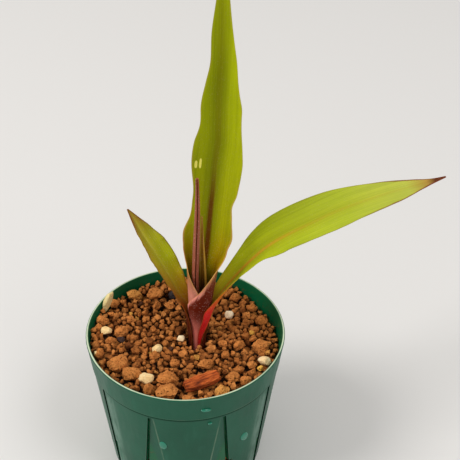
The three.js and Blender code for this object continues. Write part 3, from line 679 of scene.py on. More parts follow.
class PITCAIRNIA_OT_drops(bpy.types.Operator):
    """Lets a few beads of water hang on the outside of the pot"""

    bl_idname = "pitcairnia.drops"
    bl_label = "Water drops"

    def execute(self, context):
        settings = context.scene.pitcairnia_pot
        beads = []
        for turn, z, width, length, lean in DROPS:
            angle = math.radians(turn)
            reach = outer_radius(settings, z * MM) + DROP_OFFSET
            bead = fresh(bpy.ops.mesh.primitive_ico_sphere_add, subdivisions=3, radius=1)
            bead.scale = (DROP_RISE, width / 2 * MM, length / 2 * MM)
            bead.rotation_euler = (math.radians(lean), 0, angle)
            bead.location = (math.cos(angle) * reach, math.sin(angle) * reach, z * MM)
            beads.append(bead)
        drops = join("water_drops", beads)
        bpy.ops.object.transform_apply(location=True, rotation=True, scale=True)
        smooth(drops, 60)
        settle(drops, "pot", "pot", material=water_material())
        return {"FINISHED"}


def wall_ring(z, radius, inset):
    """One loop of the wall at height z, moved inwards by inset.

    Each entry is a point, its distance outside the nearest groove's outer edge, and its distance
    from the nearest crease. An inner loop passes the grooves at a little distance on both sides.
    Inside a groove the distance is less than 0, and is given as if it were GROOVE_WIDTH wide.
    """
    down = clamp((FACET_TOP - z) / FACET_TOP)
    fall = clamp((FACET_TOP - z) / (FACET_TOP - FACET_BOTTOM))
    full, spread = radius - inset, inset * 0.6
    floor = full - (mix(*GROOVE_DEPTH, down) if z <= FACET_TOP else 0)
    ring = []
    for index, (middle, halves, widths, sink) in enumerate(PANELS):
        edge, width = mix(*halves, down), mix(*widths, down)
        brink = full - (mix(FACET_SINK_TOP, sink, down) if z <= FACET_TOP else 0)
        crease = mix(halves[0] - CREASE_GAP_TOP, CREASE_OFFSET_BASE, fall)
        following = mix(*PANELS[index - 3][1], down)
        half = [
            (edge + spread, full), (edge + spread - GROOVE_DRAFT, floor),
            (edge - spread * 0.5 - width, floor),
            (edge - spread * 0.5 - width - GROOVE_DRAFT, brink), (crease - spread, full),
        ]
        at_edge, at_crease = (math.asin(v / radius) for v in (edge, crease))
        lines = [(-math.asin(offset / radius), reach) for offset, reach in half]
        lines += [(-angle, reach) for angle, reach in reversed(lines)]
        lines.append((math.pi / 2 - math.asin((following + spread) / radius), full))
        for (columns, form), (a, ra), (b, rb) in zip(PANEL_SPANS, lines, lines[1:]):
            for i in range(columns):
                share = i / columns
                angle = mix(a, b, share)
                if form == "round":
                    turn = middle + angle
                    point = Vector((math.cos(turn) * full, math.sin(turn) * full, z))
                else:
                    start = Vector((math.cos(middle + a) * ra, math.sin(middle + a) * ra, z))
                    end = Vector((math.cos(middle + b) * rb, math.sin(middle + b) * rb, z))
                    point = start.lerp(end, share)
                beyond = abs(angle) - at_edge
                if beyond > 0:
                    beyond = min(beyond, math.pi / 2 - abs(angle) - math.asin(following / radius))
                else:
                    beyond *= GROOVE_WIDTH / (radius * (at_edge - math.asin((edge - width) / radius)))
                ring.append((point, beyond * radius, abs(abs(angle) - at_crease) * radius))
    return ring


def flat_rings(ring, shares):
    """Copies of a ring drawn in towards its middle, for a flat floor."""
    return [[(Vector((p.x * s, p.y * s, p.z)), 1, 1) for p, _, _ in ring] for s in shares]


def pot_rings(settings):
    """The pot's skin from the middle of its underside, out and up over the lip, and down inside."""
    height = settings.height
    lip = POT_WALL / 2
    foot = wall_ring(0, outer_radius(settings, 0), 0)
    rings = flat_rings(foot, FLOOR_SHARES)
    levels = [FACET_TOP * i / WALL_ROWS for i in range(WALL_ROWS + 1)]
    over = FACET_TOP + GROOVE_DRAFT
    for z in (*levels, over, BAND_BOTTOM - BAND_STEP, BAND_BOTTOM, *BAND_LEVELS):
        rings.append(wall_ring(z, outer_radius(settings, z), 0))
    for i in range(LIP_STEPS + 1):
        turn = math.pi * i / LIP_STEPS
        inset = lip * (1 - math.cos(turn))
        rings.append(wall_ring(height - lip * (1 - math.sin(turn)), settings.rim_radius, inset))
    inside = [z for z in levels if z > POT_FLOOR + 1 * MM]
    inside += [over + 1 * MM, BAND_BOTTOM + 1 * MM, INNER_BAND_LEVEL]
    for z in reversed(inside):
        rings.append(wall_ring(z, outer_radius(settings, z), POT_WALL))
    floor = wall_ring(POT_FLOOR, outer_radius(settings, POT_FLOOR), POT_WALL)
    rings.append(floor)
    rings.extend(flat_rings(floor, reversed(FLOOR_SHARES)))
    return rings


def slit_cutter(settings):
    """One block for each drain slit. It leans with its groove and reaches in past the floor's edge."""
    reach_out = outer_radius(settings, SLIT_HEIGHT) + 1 * MM
    reach_in = outer_radius(settings, 0) - SLIT_REACH
    out, up = (reach_out + reach_in) / 2, (SLIT_HEIGHT - 1 * MM) / 2
    blocks = []
    for middle, (top, base), _, _ in PANELS:
        for side in (-1, 1):
            angle = middle + side * math.asin((base - SLIT_WIDTH / 2) / outer_radius(settings, 0))
            lean = side * math.atan((top - base) / FACET_TOP)
            at = Matrix.Rotation(angle, 3, "Z") @ Vector((out, up * math.sin(lean), up * math.cos(lean)))
            blocks.append(fresh(
                bpy.ops.mesh.primitive_cube_add, size=1, rotation=(-lean, 0, angle), location=at,
                scale=(reach_out - reach_in, SLIT_WIDTH, SLIT_HEIGHT + 1 * MM)))
    return join("slit_blocks", blocks)


def plastic_material(settings):
    """Dark green moulded plastic: painted highlights on the lip and edges, painted shade in the grooves and
    corners, a painted reflection on the side walls, a shaded inner face, clay splashed inside.
    """
    material, n, skin = new_material("Green moulded plastic")
    lip_highlight = tuple(settings.lip_highlight)
    place = n.place()
    x, y, z = n.split(place)
    radius = n.math("SQRT", n.add(n.mul(x, x), n.mul(y, y)))
    depth = n.sub(n.scaled(z, WALL_TAPER, settings.rim_radius - WALL_TAPER * settings.height), radius)
    inside = n.span(depth, 0.7 * MM, 0.95 * MM)
    outside = n.sub(1.0, inside)
    cloud = n.noise(place, 38, 4.0, 0.6)
    body = n.times(n.span(cloud, 0.35, 0.7), tuple(settings.colour), (0.8, 0.8, 0.8))
    film = n.noise(n.vector(n.mul(x, 4), n.mul(y, 4), n.mul(z, 0.6)), 70, 4.0, 0.65)
    body = n.blend(n.mul(n.span(film, 0.5, 0.78, 0.0, 0.2), outside), body, PLASTIC_FILM)
    # Painted shade: the inner face is painted a deeper, more saturated green, for the shade and the green
    # light bounced inside the pot.
    body = n.blend(inside, body, PLASTIC_SHADED_INSIDE)

    # Painted reflection: a pale, streaky sheen on the side walls beside the side grooves, standing for the
    # white room mirrored at a grazing angle.
    step = n.attribute("step")
    sideways = n.sub(n.math("ABSOLUTE", x), n.math("ABSOLUTE", y))
    streaks = n.noise(n.vector(sideways, 0.0, n.mul(z, 0.3)), 260, 3.0, 0.6)
    painted_sheen = n.mul(
        n.span(sideways, 2 * MM, 7 * MM), n.span(step, 0.3 * MM, 1.2 * MM),
        n.span(streaks, 0.3, 0.62, 0.05, 0.5),
        n.span(z, FACET_TOP - 3 * MM, FACET_TOP + 1 * MM, 1.0, 0.15), outside)
    body = n.blend(painted_sheen, body, PLASTIC_PAINTED_SHEEN)

    height = n.scaled(cloud, 0.3 * MM, z)
    brim = BAND_BOTTOM - 0.02 * MM
    # Painted shade: a dark line under the band (under), the floor of each groove (groove) and the flat face
    # beside it (shaded).
    under = n.span(height, BAND_BOTTOM - 1.6 * MM, BAND_BOTTOM - 0.6 * MM)
    # Painted highlights: a pale line above the band's lower edge (over), beside each groove's outer edge
    # (edge) and along the creases (ridge).
    over = n.fade(height, BAND_BOTTOM + 0.1 * MM, BAND_BOTTOM + 0.8 * MM)
    below = n.math("LESS_THAN", z, FACET_TOP + GROOVE_DRAFT)
    groove = n.mul(n.span(step, -1.25 * MM, -1.05 * MM), n.fade(step, 0.0, 0.15 * MM))
    shaded = n.mul(n.span(step, -4 * MM, -1 * MM, 0.0, 0.3), n.math("LESS_THAN", step, 0.0))
    edge = n.mul(n.fade(step, 0.1 * MM, 0.6 * MM), n.math("GREATER_THAN", step, 0.0), below)
    ridge = n.mul(n.fade(n.attribute("crease"), 0.1 * MM, 0.5 * MM), below)
    # All the painted shade, laid on in one dark colour.
    dark = n.mul(n.most(
        n.mul(under, n.math("LESS_THAN", z, brim), 0.6), n.mul(n.most(groove, shaded), below, 0.95)), outside)
    pale = n.most(n.mul(over, n.math("GREATER_THAN", z, brim), 0.14), n.mul(edge, 0.06), n.mul(ridge, 0.16))
    body = n.blend(dark, body, PLASTIC_PAINTED_SHADE)
    body = n.blend(n.mul(pale, n.span(cloud, 0.35, 0.6), outside), body, lip_highlight)
    # Painted highlight along the top of the lip.
    highlit = n.span(height, settings.height - 0.02 * MM, settings.height + 0.14 * MM)
    body = n.blend(highlit, body, lip_highlight)
    splash = n.span(n.noise(place, 520, 4.0, 0.7), 0.54, 0.66)
    low = n.span(z, 69.5 * MM, 72.5 * MM, 0.6, 0.0)
    body = n.blend(n.mul(splash, low, inside), body, CLAY_SPLASH)
    n.feed(skin["Roughness"], n.span(film, 0.3, 0.8, 0.36, 0.52))
    # No reflection where the shade is painted.
    n.feed(skin["Specular IOR Level"], n.span(dark, 0.3, 0.7, 0.2, 0.0))
    relief = n.add(n.noise(place, 1500, 2.0), n.mul(n.noise(place, 110, 2.0), 3.0))
    n.coat(skin, body, relief, 0.06 * MM, 0.35)
    return material


class PITCAIRNIA_OT_pot(bpy.types.Operator):
    """Moulds the slit nursery pot, with its band, faceted panels and drain slits"""

    bl_idname = "pitcairnia.pot"
    bl_label = "Pot"

    def execute(self, context):
        settings = context.scene.pitcairnia_pot
        rings = pot_rings(settings)
        count = len(rings[0])
        pot = lay_grid("nursery_pot", count, len(rings) - 1, lambda i, j: rings[j][i % count][0])
        for name, entry in (("step", 1), ("crease", 2)):
            mark(pot, name, [ring[i % count][entry] for ring in rings for i in range(count + 1)])
        weld(pot)
        cut_away(pot, slit_cutter(settings))
        smooth(pot, 9)
        settle(pot, "pot", "pot", material=plastic_material(settings))
        return {"FINISHED"}


# The filling.

CLAY_ASH = (0.05, 0.042, 0.045)
CLAY_ORANGE = (0.98, 0.55, 0.1)
STONE_TONES = [(0.84, 0.7, 0.34), (0.99, 0.74, 0.36), (1.0, 0.84, 0.6)]


def edge_rise(x, y):
    """How far the bed's edge stands above its middle in the direction of a point."""
    turn = math.degrees(math.atan2(x, -y)) % 360
    for (start, low), (end, high) in zip(EDGE_RISES, EDGE_RISES[1:]):
        if turn <= end:
            return mix(low, high, (turn - start) / (end - start)) * MM


def bed_height(x, y):
    """The bed climbs slowly to its shoulder, and faster from there to the wall."""
    reach = math.hypot(x, y) / BED_RADIUS
    outside = (reach - BED_SHOULDER) / (1 - BED_SHOULDER)
    share = BED_SHOULDER_RISE * reach / BED_SHOULDER if outside < 0 else mix(BED_SHOULDER_RISE, 1, outside)
    return BED_LEVEL + share * edge_rise(x, y)


def clay_material(name, settings):
    """Baked clay: reddish brown, crumbly, pitted and quite matt."""
    material, n, skin = new_material(name, 0.95, 0.12)
    grit = n.group(grit_group(), Vector=n.place(), Grain=1300.0)
    clay = tuple(settings.clay)
    dark, pale = tinted(clay, (0.36, 0.32, 0.34)), tinted(clay, (1.15, 1.28, 1.4))
    tones = [(0.0, CLAY_ASH), (0.12, dark), (0.42, clay), (0.75, pale), (1.0, CLAY_ORANGE)]
    body = n.ramp(n.attribute("tone"), tones)
    body = n.times(n.mul(grit["Blotch"], 0.55), body, (0.56, 0.48, 0.42))
    body = n.blend(n.mul(grit["Pit"], 0.8), body, (0.05, 0.016, 0.005))
    # Painted shade: the deeper a point lies below the surface of the filling, the darker it is.
    body = n.times(n.sub(1.0, n.attribute("scurf_and_shade")), body, (0.16, 0.12, 0.10))
    n.coat(skin, body, grit["Height"], 0.45 * MM, 1.0)
    return material


def draw_flats(draw, count, low, high, scale=1.0):
    """Random flat sides for a pebble: the direction of each, and how far it lies from the middle."""
    return [
        (Vector([draw.gauss(0, 1) for _ in range(3)]).normalized(), draw.uniform(low, high) * scale)
        for _ in range(count)
    ]


def shave(point, flats, share):
    """Moves the point back by a share of how far it stands out of each flat side."""
    for normal, reach in flats:
        over = point.dot(normal) - reach
        if over > 0:
            point -= normal * over * share
    return point


def granule_forms(seed, cuts):
    """A few crumbly granule meshes of about unit radius: points and faces."""
    forms = []
    for index in range(GRANULE_FORMS):
        model = fresh(bpy.ops.mesh.primitive_cube_add, size=2)
        edit(
            model,
            lambda: bpy.ops.mesh.subdivide(number_cuts=cuts),
            lambda: bpy.ops.transform.tosphere(value=0.7),
        )
        flats = draw_flats(random.Random(seed * 100 + index), 8, 0.5, 0.8)
        points = []
        for vertex in model.data.vertices:
            knob = noise.noise(vertex.co * 1.9 + Vector((index * 7.1, 0, seed)))
            points.append(shave(vertex.co / 1.2, flats, 0.9) * (1.12 + 0.5 * knob))
        forms.append((points, [tuple(face.vertices) for face in model.data.polygons]))
        bpy.data.objects.remove(model)
    return forms


class Heap:
    """Granules that have come to rest, kept in square cells so that neighbours are found fast."""

    CELL = 6 * MM
    NEIGHBOURS = [(i, j) for i in (-2, -1, 0, 1, 2) for j in (-2, -1, 0, 1, 2)]
    # Granules aren't quite round: two that touch lie this share of their radii apart.
    APART = 0.96

    def __init__(self):
        self.cells = {}
        self.items = []

    def cell(self, x, y):
        return round(x / self.CELL), round(y / self.CELL)

    def add(self, x, y, z, radius):
        self.items.append((x, y, z, radius))
        self.cells.setdefault(self.cell(x, y), []).append((x, y, z, radius))

    def rest(self, x, y, radius, floor):
        """Height of the middle of a ball dropped here."""
        height = floor + radius * 0.4
        cx, cy = self.cell(x, y)
        for i, j in self.NEIGHBOURS:
            for ox, oy, oz, other in self.cells.get((cx + i, cy + j), ()):
                reach = (radius + other) * self.APART
                flat = (x - ox) ** 2 + (y - oy) ** 2
                if flat < reach * reach:
                    height = max(height, oz + math.sqrt(reach * reach - flat))
        return height


def add_row(heap, at, turn, aways, z, radius):
    """Adds a row of balls that stand for a long piece: at in millimetres, turn in degrees."""
    angle = math.radians(turn)
    for away in aways:
        heap.add((at[0] + away * math.cos(angle)) * MM, (at[1] + away * math.sin(angle)) * MM, z, radius)


def settle_heap(pot, filling):
    """Drops granules one by one into the lowest of a few chosen places until the pot is full."""
    draw = random.Random(filling.seed)
    heap = Heap()
    for _, at, size, _, _, _ in STONES:
        heap.add(at[0] * MM, at[1] * MM, at[2] * MM, (size[0] + size[1]) * MM / 4.4)
    aways = [share * BARK_SIZE[0] for share in (-0.36, -0.12, 0.12, 0.36)]
    add_row(heap, BARK_MIDDLE, BARK_TURN, aways, BARK_MIDDLE[2] * MM, BARK_SIZE[1] * MM * 0.5)
    for x, y, width, height, turn, _ in LUMPS:
        radius = (width * 0.7 + height) * MM / 4
        add_row(heap, (x, y), turn, (-0.2 * width, 0.2 * width), lump_middle(x, y, height), radius)
    fixed = len(heap.items)
    misses = 0
    while misses < MISSES_ALLOWED:
        radius = filling.granule_size / 2 * (1 + filling.granule_spread * draw.random() ** 3)
        best = None
        for _ in range(PLACES_TRIED):
            angle, out = draw.uniform(0, 2 * math.pi), math.sqrt(draw.random())
            edge = (math.cos(angle) * BED_RADIUS, math.sin(angle) * BED_RADIUS)
            reach = outer_radius(pot, bed_height(*edge)) - POT_WALL - radius
            x, y = out * reach * math.cos(angle), out * reach * math.sin(angle)
            if math.hypot(x - CROWN.x, y - CROWN.y) < SHEATH_RADIUS + radius * 0.85:
                continue
            z = heap.rest(x, y, radius, bed_height(x, y) + SURFACE_ABOVE_BED - GRANULE_LAYERS)
            if best is None or z - bed_height(x, y) < best[0]:
                best = (z - bed_height(x, y), x, y, z)
        if best is None or best[0] + radius * 0.5 > SURFACE_ABOVE_BED:
            misses += 1
        else:
            heap.add(*best[1:], radius)
    return heap.items[fixed:]


def lump_middle(x, y, height):
    """Height of a lump's middle, a little below the surface."""
    return bed_height(x * MM, y * MM) + SURFACE_ABOVE_BED - height * MM * LUMP_SUNK


def copies_mesh(name, coarse, fine, places, draw):
    """One mesh of many turned and stretched copies, each with its own tone, and darker underneath as painted
    shade.
    """
    points, faces, tones, painted_shades = [], [], [], []
    for x, y, z, radius in places:
        shape, sides = draw.choice(fine if radius > FINE_FROM else coarse)
        turns = [draw.uniform(0, FULL_TURN) for _ in range(2)]
        spin = Matrix.Rotation(turns[0], 3, "Z") @ Matrix.Rotation(turns[1], 3, "X")
        stretch = [radius * draw.uniform(0.78, 1.2) for _ in range(3)]
        tone = clamp(draw.gauss(0.45, 0.15), 0.05, 0.95)
        surface = bed_height(x, y) + SURFACE_ABOVE_BED
        start = len(points)
        for p in shape:
            way = spin @ Vector(v * s for v, s in zip(p, stretch))
            points.append(way + Vector((x, y, z)))
            # Painted shade: 1 at the surface, falling to 0 a few millimetres below it.
            painted_shades.append(ease(-3.4 * MM, 0.2 * MM, z - surface + way.z))
        faces.extend(tuple(start + i for i in side) for side in sides)
        tones.extend([tone] * len(shape))
    mesh = bpy.data.meshes.new(name)
    mesh.from_pydata(points, [], faces)
    piece = bpy.data.objects.new(name, mesh)
    bpy.context.scene.collection.objects.link(piece)
    mark(piece, "tone", tones)
    mark(piece, "scurf_and_shade", painted_shades)
    return piece


class PITCAIRNIA_OT_granules(bpy.types.Operator):
    """Fills the pot with small baked clay granules, packed as they fall"""

    bl_idname = "pitcairnia.granules"
    bl_label = "Granules"

    def execute(self, context):
        filling = context.scene.pitcairnia_filling
        places = settle_heap(context.scene.pitcairnia_pot, filling)
        draw = random.Random(filling.seed + 1)
        coarse, fine = granule_forms(filling.seed, 1), granule_forms(filling.seed, 2)
        granules = copies_mesh("clay_granules", coarse, fine, places, draw)
        smooth(granules, 26)
        settle(granules, "clay_granules", "soil", material=clay_material("Baked clay", filling))
        return {"FINISHED"}


def knobbly_ball(name, seed, size, rough, squareness):
    """An irregular pebble at the origin: a ball with broad flats and small knobs."""
    ball = fresh(bpy.ops.mesh.primitive_ico_sphere_add, subdivisions=4, radius=0.5)
    ball.name = ball.data.name = name
    flats = draw_flats(random.Random(seed), 9, 0.34, 0.46, 1 - 0.14 * squareness)
    offset = Vector((seed * 3.7, 0, 0))
    for vertex in ball.data.vertices:
        way = vertex.co.normalized()
        swell = noise.noise(way * 1.6 + offset) + 0.5 * noise.noise(way * 4.2 + offset)
        grain = noise.noise(way * 10 + offset) + 0.6 * noise.noise(way * 21 + offset)
        p = shave(vertex.co.copy(), flats, 0.55 + 0.4 * squareness)
        vertex.co = p * (1 + rough * swell + rough * 0.36 * grain)
    ball.data.update()
    spans = [max(abs(v.co[k]) for v in ball.data.vertices) * 2 for k in range(3)]
    ball.scale = [s / span for s, span in zip(size, spans)]
    return ball


class PITCAIRNIA_OT_lumps(bpy.types.Operator):
    """Sets the larger lumps of clay among the granules"""

    bl_idname = "pitcairnia.lumps"
    bl_label = "Lumps"

    def execute(self, context):
        filling = context.scene.pitcairnia_filling
        draw = random.Random(filling.seed + 2)
        lumps = []
        for index, (x, y, width, height, turn, tone) in enumerate(LUMPS):
            size = [width * MM, width * MM * draw.uniform(0.72, 0.9), height * MM]
            lump = knobbly_ball(f"lump_{index}", LUMP_SEED + index, size, 0.24, 0.6)
            at = (x * MM, y * MM, lump_middle(x, y, height))
            place_piece(lump, at, (0, draw.uniform(-12, 12), turn))
            base = bed_height(x * MM, y * MM)
            mark(lump, "tone", [tone] * len(lump.data.vertices))
            # Painted shade: the lump darkens towards its bottom, below the bed's level.
            mark(lump, "scurf_and_shade", [ease(-1.5 * MM, 1.8 * MM, v.co.z - base) for v in lump.data.vertices])
            lumps.append(lump)
        piece = join("clay_lumps", lumps)
        smooth(piece, 30)
        settle(piece, "clay_granules", "soil", material=clay_material("Baked clay lumps", filling))
        return {"FINISHED"}


class PITCAIRNIA_OT_bed(bpy.types.Operator):
    """Lays the body of the filling under the loose granules, down to the drain slits"""

    bl_idname = "pitcairnia.bed"
    bl_label = "Bed"

    def execute(self, context):
        pot = context.scene.pitcairnia_pot
        inset = POT_WALL + SOIL_CLEARANCE
        levels = [POT_FLOOR + SOIL_CLEARANCE] + [FACET_TOP * i / BED_ROWS for i in range(1, BED_ROWS + 1)]
        sides = [wall_ring(z, outer_radius(pot, z), inset) for z in levels]
        top = wall_ring(BED_LEVEL, outer_radius(pot, BED_LEVEL), inset)
        sunk = GRANULE_LAYERS - SURFACE_ABOVE_BED
        surface = [
            [(Vector((p.x * s, p.y * s, bed_height(p.x * s, p.y * s) - sunk)), 0, 0) for p, _, _ in top]
            for s in (1, 0.8, 0.6, 0.3, 0)
        ]
        rings = [*flat_rings(sides[0], [0, 0.5]), *sides, *surface]
        count = len(rings[0])
        bed = lay_grid("clay_bed", count, len(rings) - 1, lambda i, j: rings[j][i % count][0])
        weld(bed)
        cut_away(bed, fresh(
            bpy.ops.mesh.primitive_cylinder_add, vertices=48, radius=SHEATH_RADIUS - 0.1 * MM,
            depth=HOLE_DEPTH, location=(CROWN.x, CROWN.y, HOLE_MIDDLE)))
        smooth(bed, 30)
        settle(bed, "clay_granules", "soil", material=bed_material(context.scene.pitcairnia_filling))
        return {"FINISHED"}


def bed_material(filling):
    """Packed clay granules seen in shade: round cells with dark gaps."""
    material, n, skin = new_material("Packed clay", 1.0, 0.1)
    place = n.place()
    clay = tuple(filling.clay)
    cells = n.cells(place, 330.0)
    body = n.blend(n.split(cells["Color"])[0], tinted(clay, (0.7, 0.7, 0.7)), tinted(clay, (1.2, 1.2, 1.2)))
    body = n.blend(n.span(cells["Distance"], 0.35, 0.62), body, (0.02, 0.008, 0.004))
    grit = n.group(grit_group(), Vector=place, Grain=1150.0)
    n.coat(skin, body, n.sub(n.mul(grit["Height"], 0.2), cells["Distance"]), 1.6 * MM, 1.0)
    return material


def stone_material(name, tone):
    """Light porous stone, from greenish cream through yellow to chalk white."""
    material, n, skin = new_material(name, 0.85, 0.3)
    grit = n.group(grit_group(), Vector=n.place(), Grain=900.0)
    step = 0 if tone < 0.5 else 1
    low, high = STONE_TONES[step:step + 2]
    colour = tuple(mix(a, b, tone * 2 - step) for a, b in zip(low, high))
    body = n.blend(n.mul(grit["Blotch"], 0.5), colour, tinted(colour, (0.95, 0.72, 0.48)))
    body = n.blend(n.mul(grit["Pit"], 0.25), body, (0.5, 0.26, 0.09))
    n.coat(skin, body, grit["Height"], 0.3 * MM, 0.7)
    return material


class PITCAIRNIA_OT_stones(bpy.types.Operator):
    """Sets the loose pale stones in the top of the filling"""

    bl_idname = "pitcairnia.stones"
    bl_label = "Pale stones"

    def execute(self, context):
        for node, at, size, turn, seed, tone in STONES:
            name = node.replace("pale_stone", "stone")
            stone = knobbly_ball(name, seed, [s * MM for s in size], 0.1, 0.8)
            place_piece(stone, [v * MM for v in at], turn)
            smooth(stone, 40)
            settle(stone, "pale_stone", node, material=stone_material(f"Pale stone {node[11:]}", tone))
        return {"FINISHED"}


def bark_material():
    """Pine bark: red-brown fibres with dark cracks along the chip."""
    material, n, skin = new_material("Pine bark", 0.85, 0.25)
    chip = n.node("ShaderNodeMapping", vector_type="TEXTURE")
    chip.inputs["Location"].default_value = [v * MM for v in BARK_MIDDLE]
    chip.inputs["Rotation"].default_value = (0, -math.radians(BARK_RISE), math.radians(BARK_TURN))
    n.feed(chip.inputs["Vector"], n.place())
    along, across, up = n.split(chip.outputs[0])
    fibre = n.vector(n.mul(along, 0.16), across, up)
    strand, layer = n.noise(fibre, 1500, 4.0, 0.65), n.noise(fibre, 480, 3.0, 0.6)
    body = n.ramp(n.add(n.mul(strand, 0.55), n.mul(layer, 0.45)), [
        (0.34, (0.03, 0.005, 0.002)), (0.45, (0.26, 0.045, 0.008)), (0.55, (0.55, 0.11, 0.018)),
        (0.68, (0.85, 0.26, 0.06)),
    ])
    n.coat(skin, body, n.add(strand, layer), 0.5 * MM, 0.9)
    return material


class PITCAIRNIA_OT_bark(bpy.types.Operator):
    """Lays the chip of bark across the front of the filling"""

    bl_idname = "pitcairnia.bark"
    bl_label = "Bark chip"

    def execute(self, context):
        chip = fresh(bpy.ops.mesh.primitive_cube_add, size=1)
        chip.name = chip.data.name = "bark_sliver"
        edit(chip, lambda: bpy.ops.mesh.subdivide(number_cuts=40))
        for vertex in chip.data.vertices:
            x, y, z = vertex.co
            taper = 1 - 0.3 * abs(2 * x) ** 3
            round_off = 1 - 0.28 * (2 * y) ** 2
            fibre = noise.noise(Vector((x * 1.5, y * 9, z * 5)))
            splinter = noise.noise(Vector((x * 4, y * 22, z * 9)))
            bend = noise.noise(Vector((x * 5, 9, z * 2)))
            ragged = noise.noise(Vector((3, y * 11, z * 6))) + 0.5 * noise.noise(Vector((7, y * 23, z * 13)))
            vertex.co = Vector((
                x * (0.94 + 0.1 * ragged),
                y * taper * (0.93 + 0.12 * bend),
                z * round_off * (0.9 + 0.14 * fibre) + 0.07 * fibre + 0.035 * splinter,
            ))
        chip.data.update()
        chip.scale = [s * MM for s in BARK_SIZE]
        place_piece(chip, [v * MM for v in BARK_MIDDLE], (0, -BARK_RISE, BARK_TURN))
        smooth(chip, 40)
        settle(chip, "bark", "bark_chip", material=bark_material())
        return {"FINISHED"}


class PITCAIRNIA_OT_rootstock(bpy.types.Operator):
    """Gives the buried rootstock its fibrous skin"""

    bl_idname = "pitcairnia.rootstock"
    bl_label = "Rootstock"

    def execute(self, context):
        material, n, skin = new_material("Root skin", 0.9)
        grit = n.group(grit_group(), Vector=n.place(), Grain=700.0)
        body = n.blend(grit["Blotch"], (0.17, 0.09, 0.045), (0.08, 0.04, 0.02))
        n.coat(skin, body, grit["Height"], 0.3 * MM, 0.8)
        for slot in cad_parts["rootstock"].material_slots:
            slot.material = material
        return {"FINISHED"}


# The leaves.


def row_at(rows, share):
    """Smooth curve through the rows: every column of the table is eased the same way."""
    last = len(rows) - 1
    place = clamp(share) * last
    k = min(int(place), last - 1)
    t = place - k
    here, after = rows[k], rows[k + 1]
    before = rows[k - 1] if k else [2 * a - b for a, b in zip(here, after)]
    beyond = rows[k + 2] if k + 2 <= last else [2 * b - a for a, b in zip(here, after)]
    return [
        0.5 * (2 * b + (c - a) * t + (2 * a - 5 * b + 4 * c - d) * t * t + (3 * b - a - 3 * c + d) * t ** 3)
        for a, b, c, d in zip(before, here, after, beyond)
    ]


def leaf_axes(leaf, share):
    """Directions at a place: across the leaf to the plus side, and out of its upper face."""
    step = 1e-3
    ahead = Vector(row_at(leaf["rows"], share + step)[:3])
    behind = Vector(row_at(leaf["rows"], share - step)[:3])
    along = (ahead - behind).normalized()
    bearing = math.radians(leaf["bearing"])
    across = Vector((-math.sin(bearing), math.cos(bearing), 0))
    across = (across - along * across.dot(along)).normalized()
    up = along.cross(across)
    twist = math.radians(row_at(leaf["rows"], share)[8])
    turned = across * math.cos(twist) + up * math.sin(twist)
    return turned, along.cross(turned)


def blade_relief(name, share, side, reach, z, settings):
    """How far the surface leaves the plain roll, in millimetres, along its upper face's normal."""
    channel = -settings.rib_depth / MM * math.exp(-((reach / 0.9) ** 2)) * ease(0.25, 0.4, share)
    open_part = ease(104, 120, z) if name == "leaf_tall_back" else ease(0.45, 0.6, share)
    if "young" in name or "inner" in name:
        open_part = 0
    ripple = noise.noise(Vector((share * 17, side * 0.7, len(name))))
    fine = noise.noise(Vector((share * 46, side * 1.4, len(name) * 2.0)))
    wave = open_part * abs(side) ** 2.5 * (0.9 * ripple + 0.22 * fine) * ease(1.0, 0.86, share)
    return channel + wave


def leaf_places(name, leaf, settings):
    """Points of the blade's middle surface, and what the material needs to know at each."""
    stations, across = leaf["stations"], leaf["across"]
    points, places, weights = [], [], []
    length = 0
    last = None
    for j in range(stations + 1):
        share = j / stations
        x, y, z, plus, minus, roll_plus, roll_minus, fold_degrees, _ = row_at(leaf["rows"], share)
        sideways_axis, up = leaf_axes(leaf, share)
        fold = math.radians(fold_degrees)
        middle = Vector((x, y, z))
        length += (middle - last).length if last else 0
        last = middle
        for i in range(across + 1):
            side = 1 - 2 * i / across
            sign = 1 if side >= 0 else -1
            half, roll = (plus, roll_plus) if sign > 0 else (minus, roll_minus)
            reach = abs(side) * half
            lean = fold + reach / roll
            sideways = sign * (math.sin(lean) - math.sin(fold)) * roll
            rise = (math.cos(fold) - math.cos(lean)) * roll
            normal = up * math.cos(lean) - sideways_axis * sign * math.sin(lean)
            relief = blade_relief(name, share, side, reach, z, settings)
            points.append((middle + sideways_axis * sideways + up * rise + normal * relief) * MM)
            places.extend((sign * reach, half - reach, length))
            weights.append(ease(0, 1.1, half - reach))
    return points, places, weights


# What each leaf is coloured like. Lengths are millimetres from the foot of the sheath, and widths
# are millimetres from the middle line or from the margin. "upper" and "lower" are colours along
# the two faces. "shade", "rib" and "edge" are a width, a colour and its strength along the leaf,
# and "blush_and_shade" is a colour and its strength: the sheath's own maroon, deepened on the minus
# side as painted shade. "lean" darkens the plus side as painted shade: how much, and by what.
GREEN_OLIVE = (0.15, 0.17, 0.001)
SHEATH_PINK = (0.98, 0.24, 0.2)
SHEATH_MAROON = (0.13, 0.010, 0.004)
DARK_TIP = (0.09, 0.016, 0.012)
SCAR_COLOUR = (0.85, 0.76, 0.14)
SCURF_COLOUR = (0.8, 0.5, 0.42)
# Two scrapes: the middle of each, from the middle line and from the foot, and half its width and
# half its length.
SCARS = [((8.0, 93.0), (0.65, 1.7)), ((6.15, 93.5), (0.55, 2.3))]

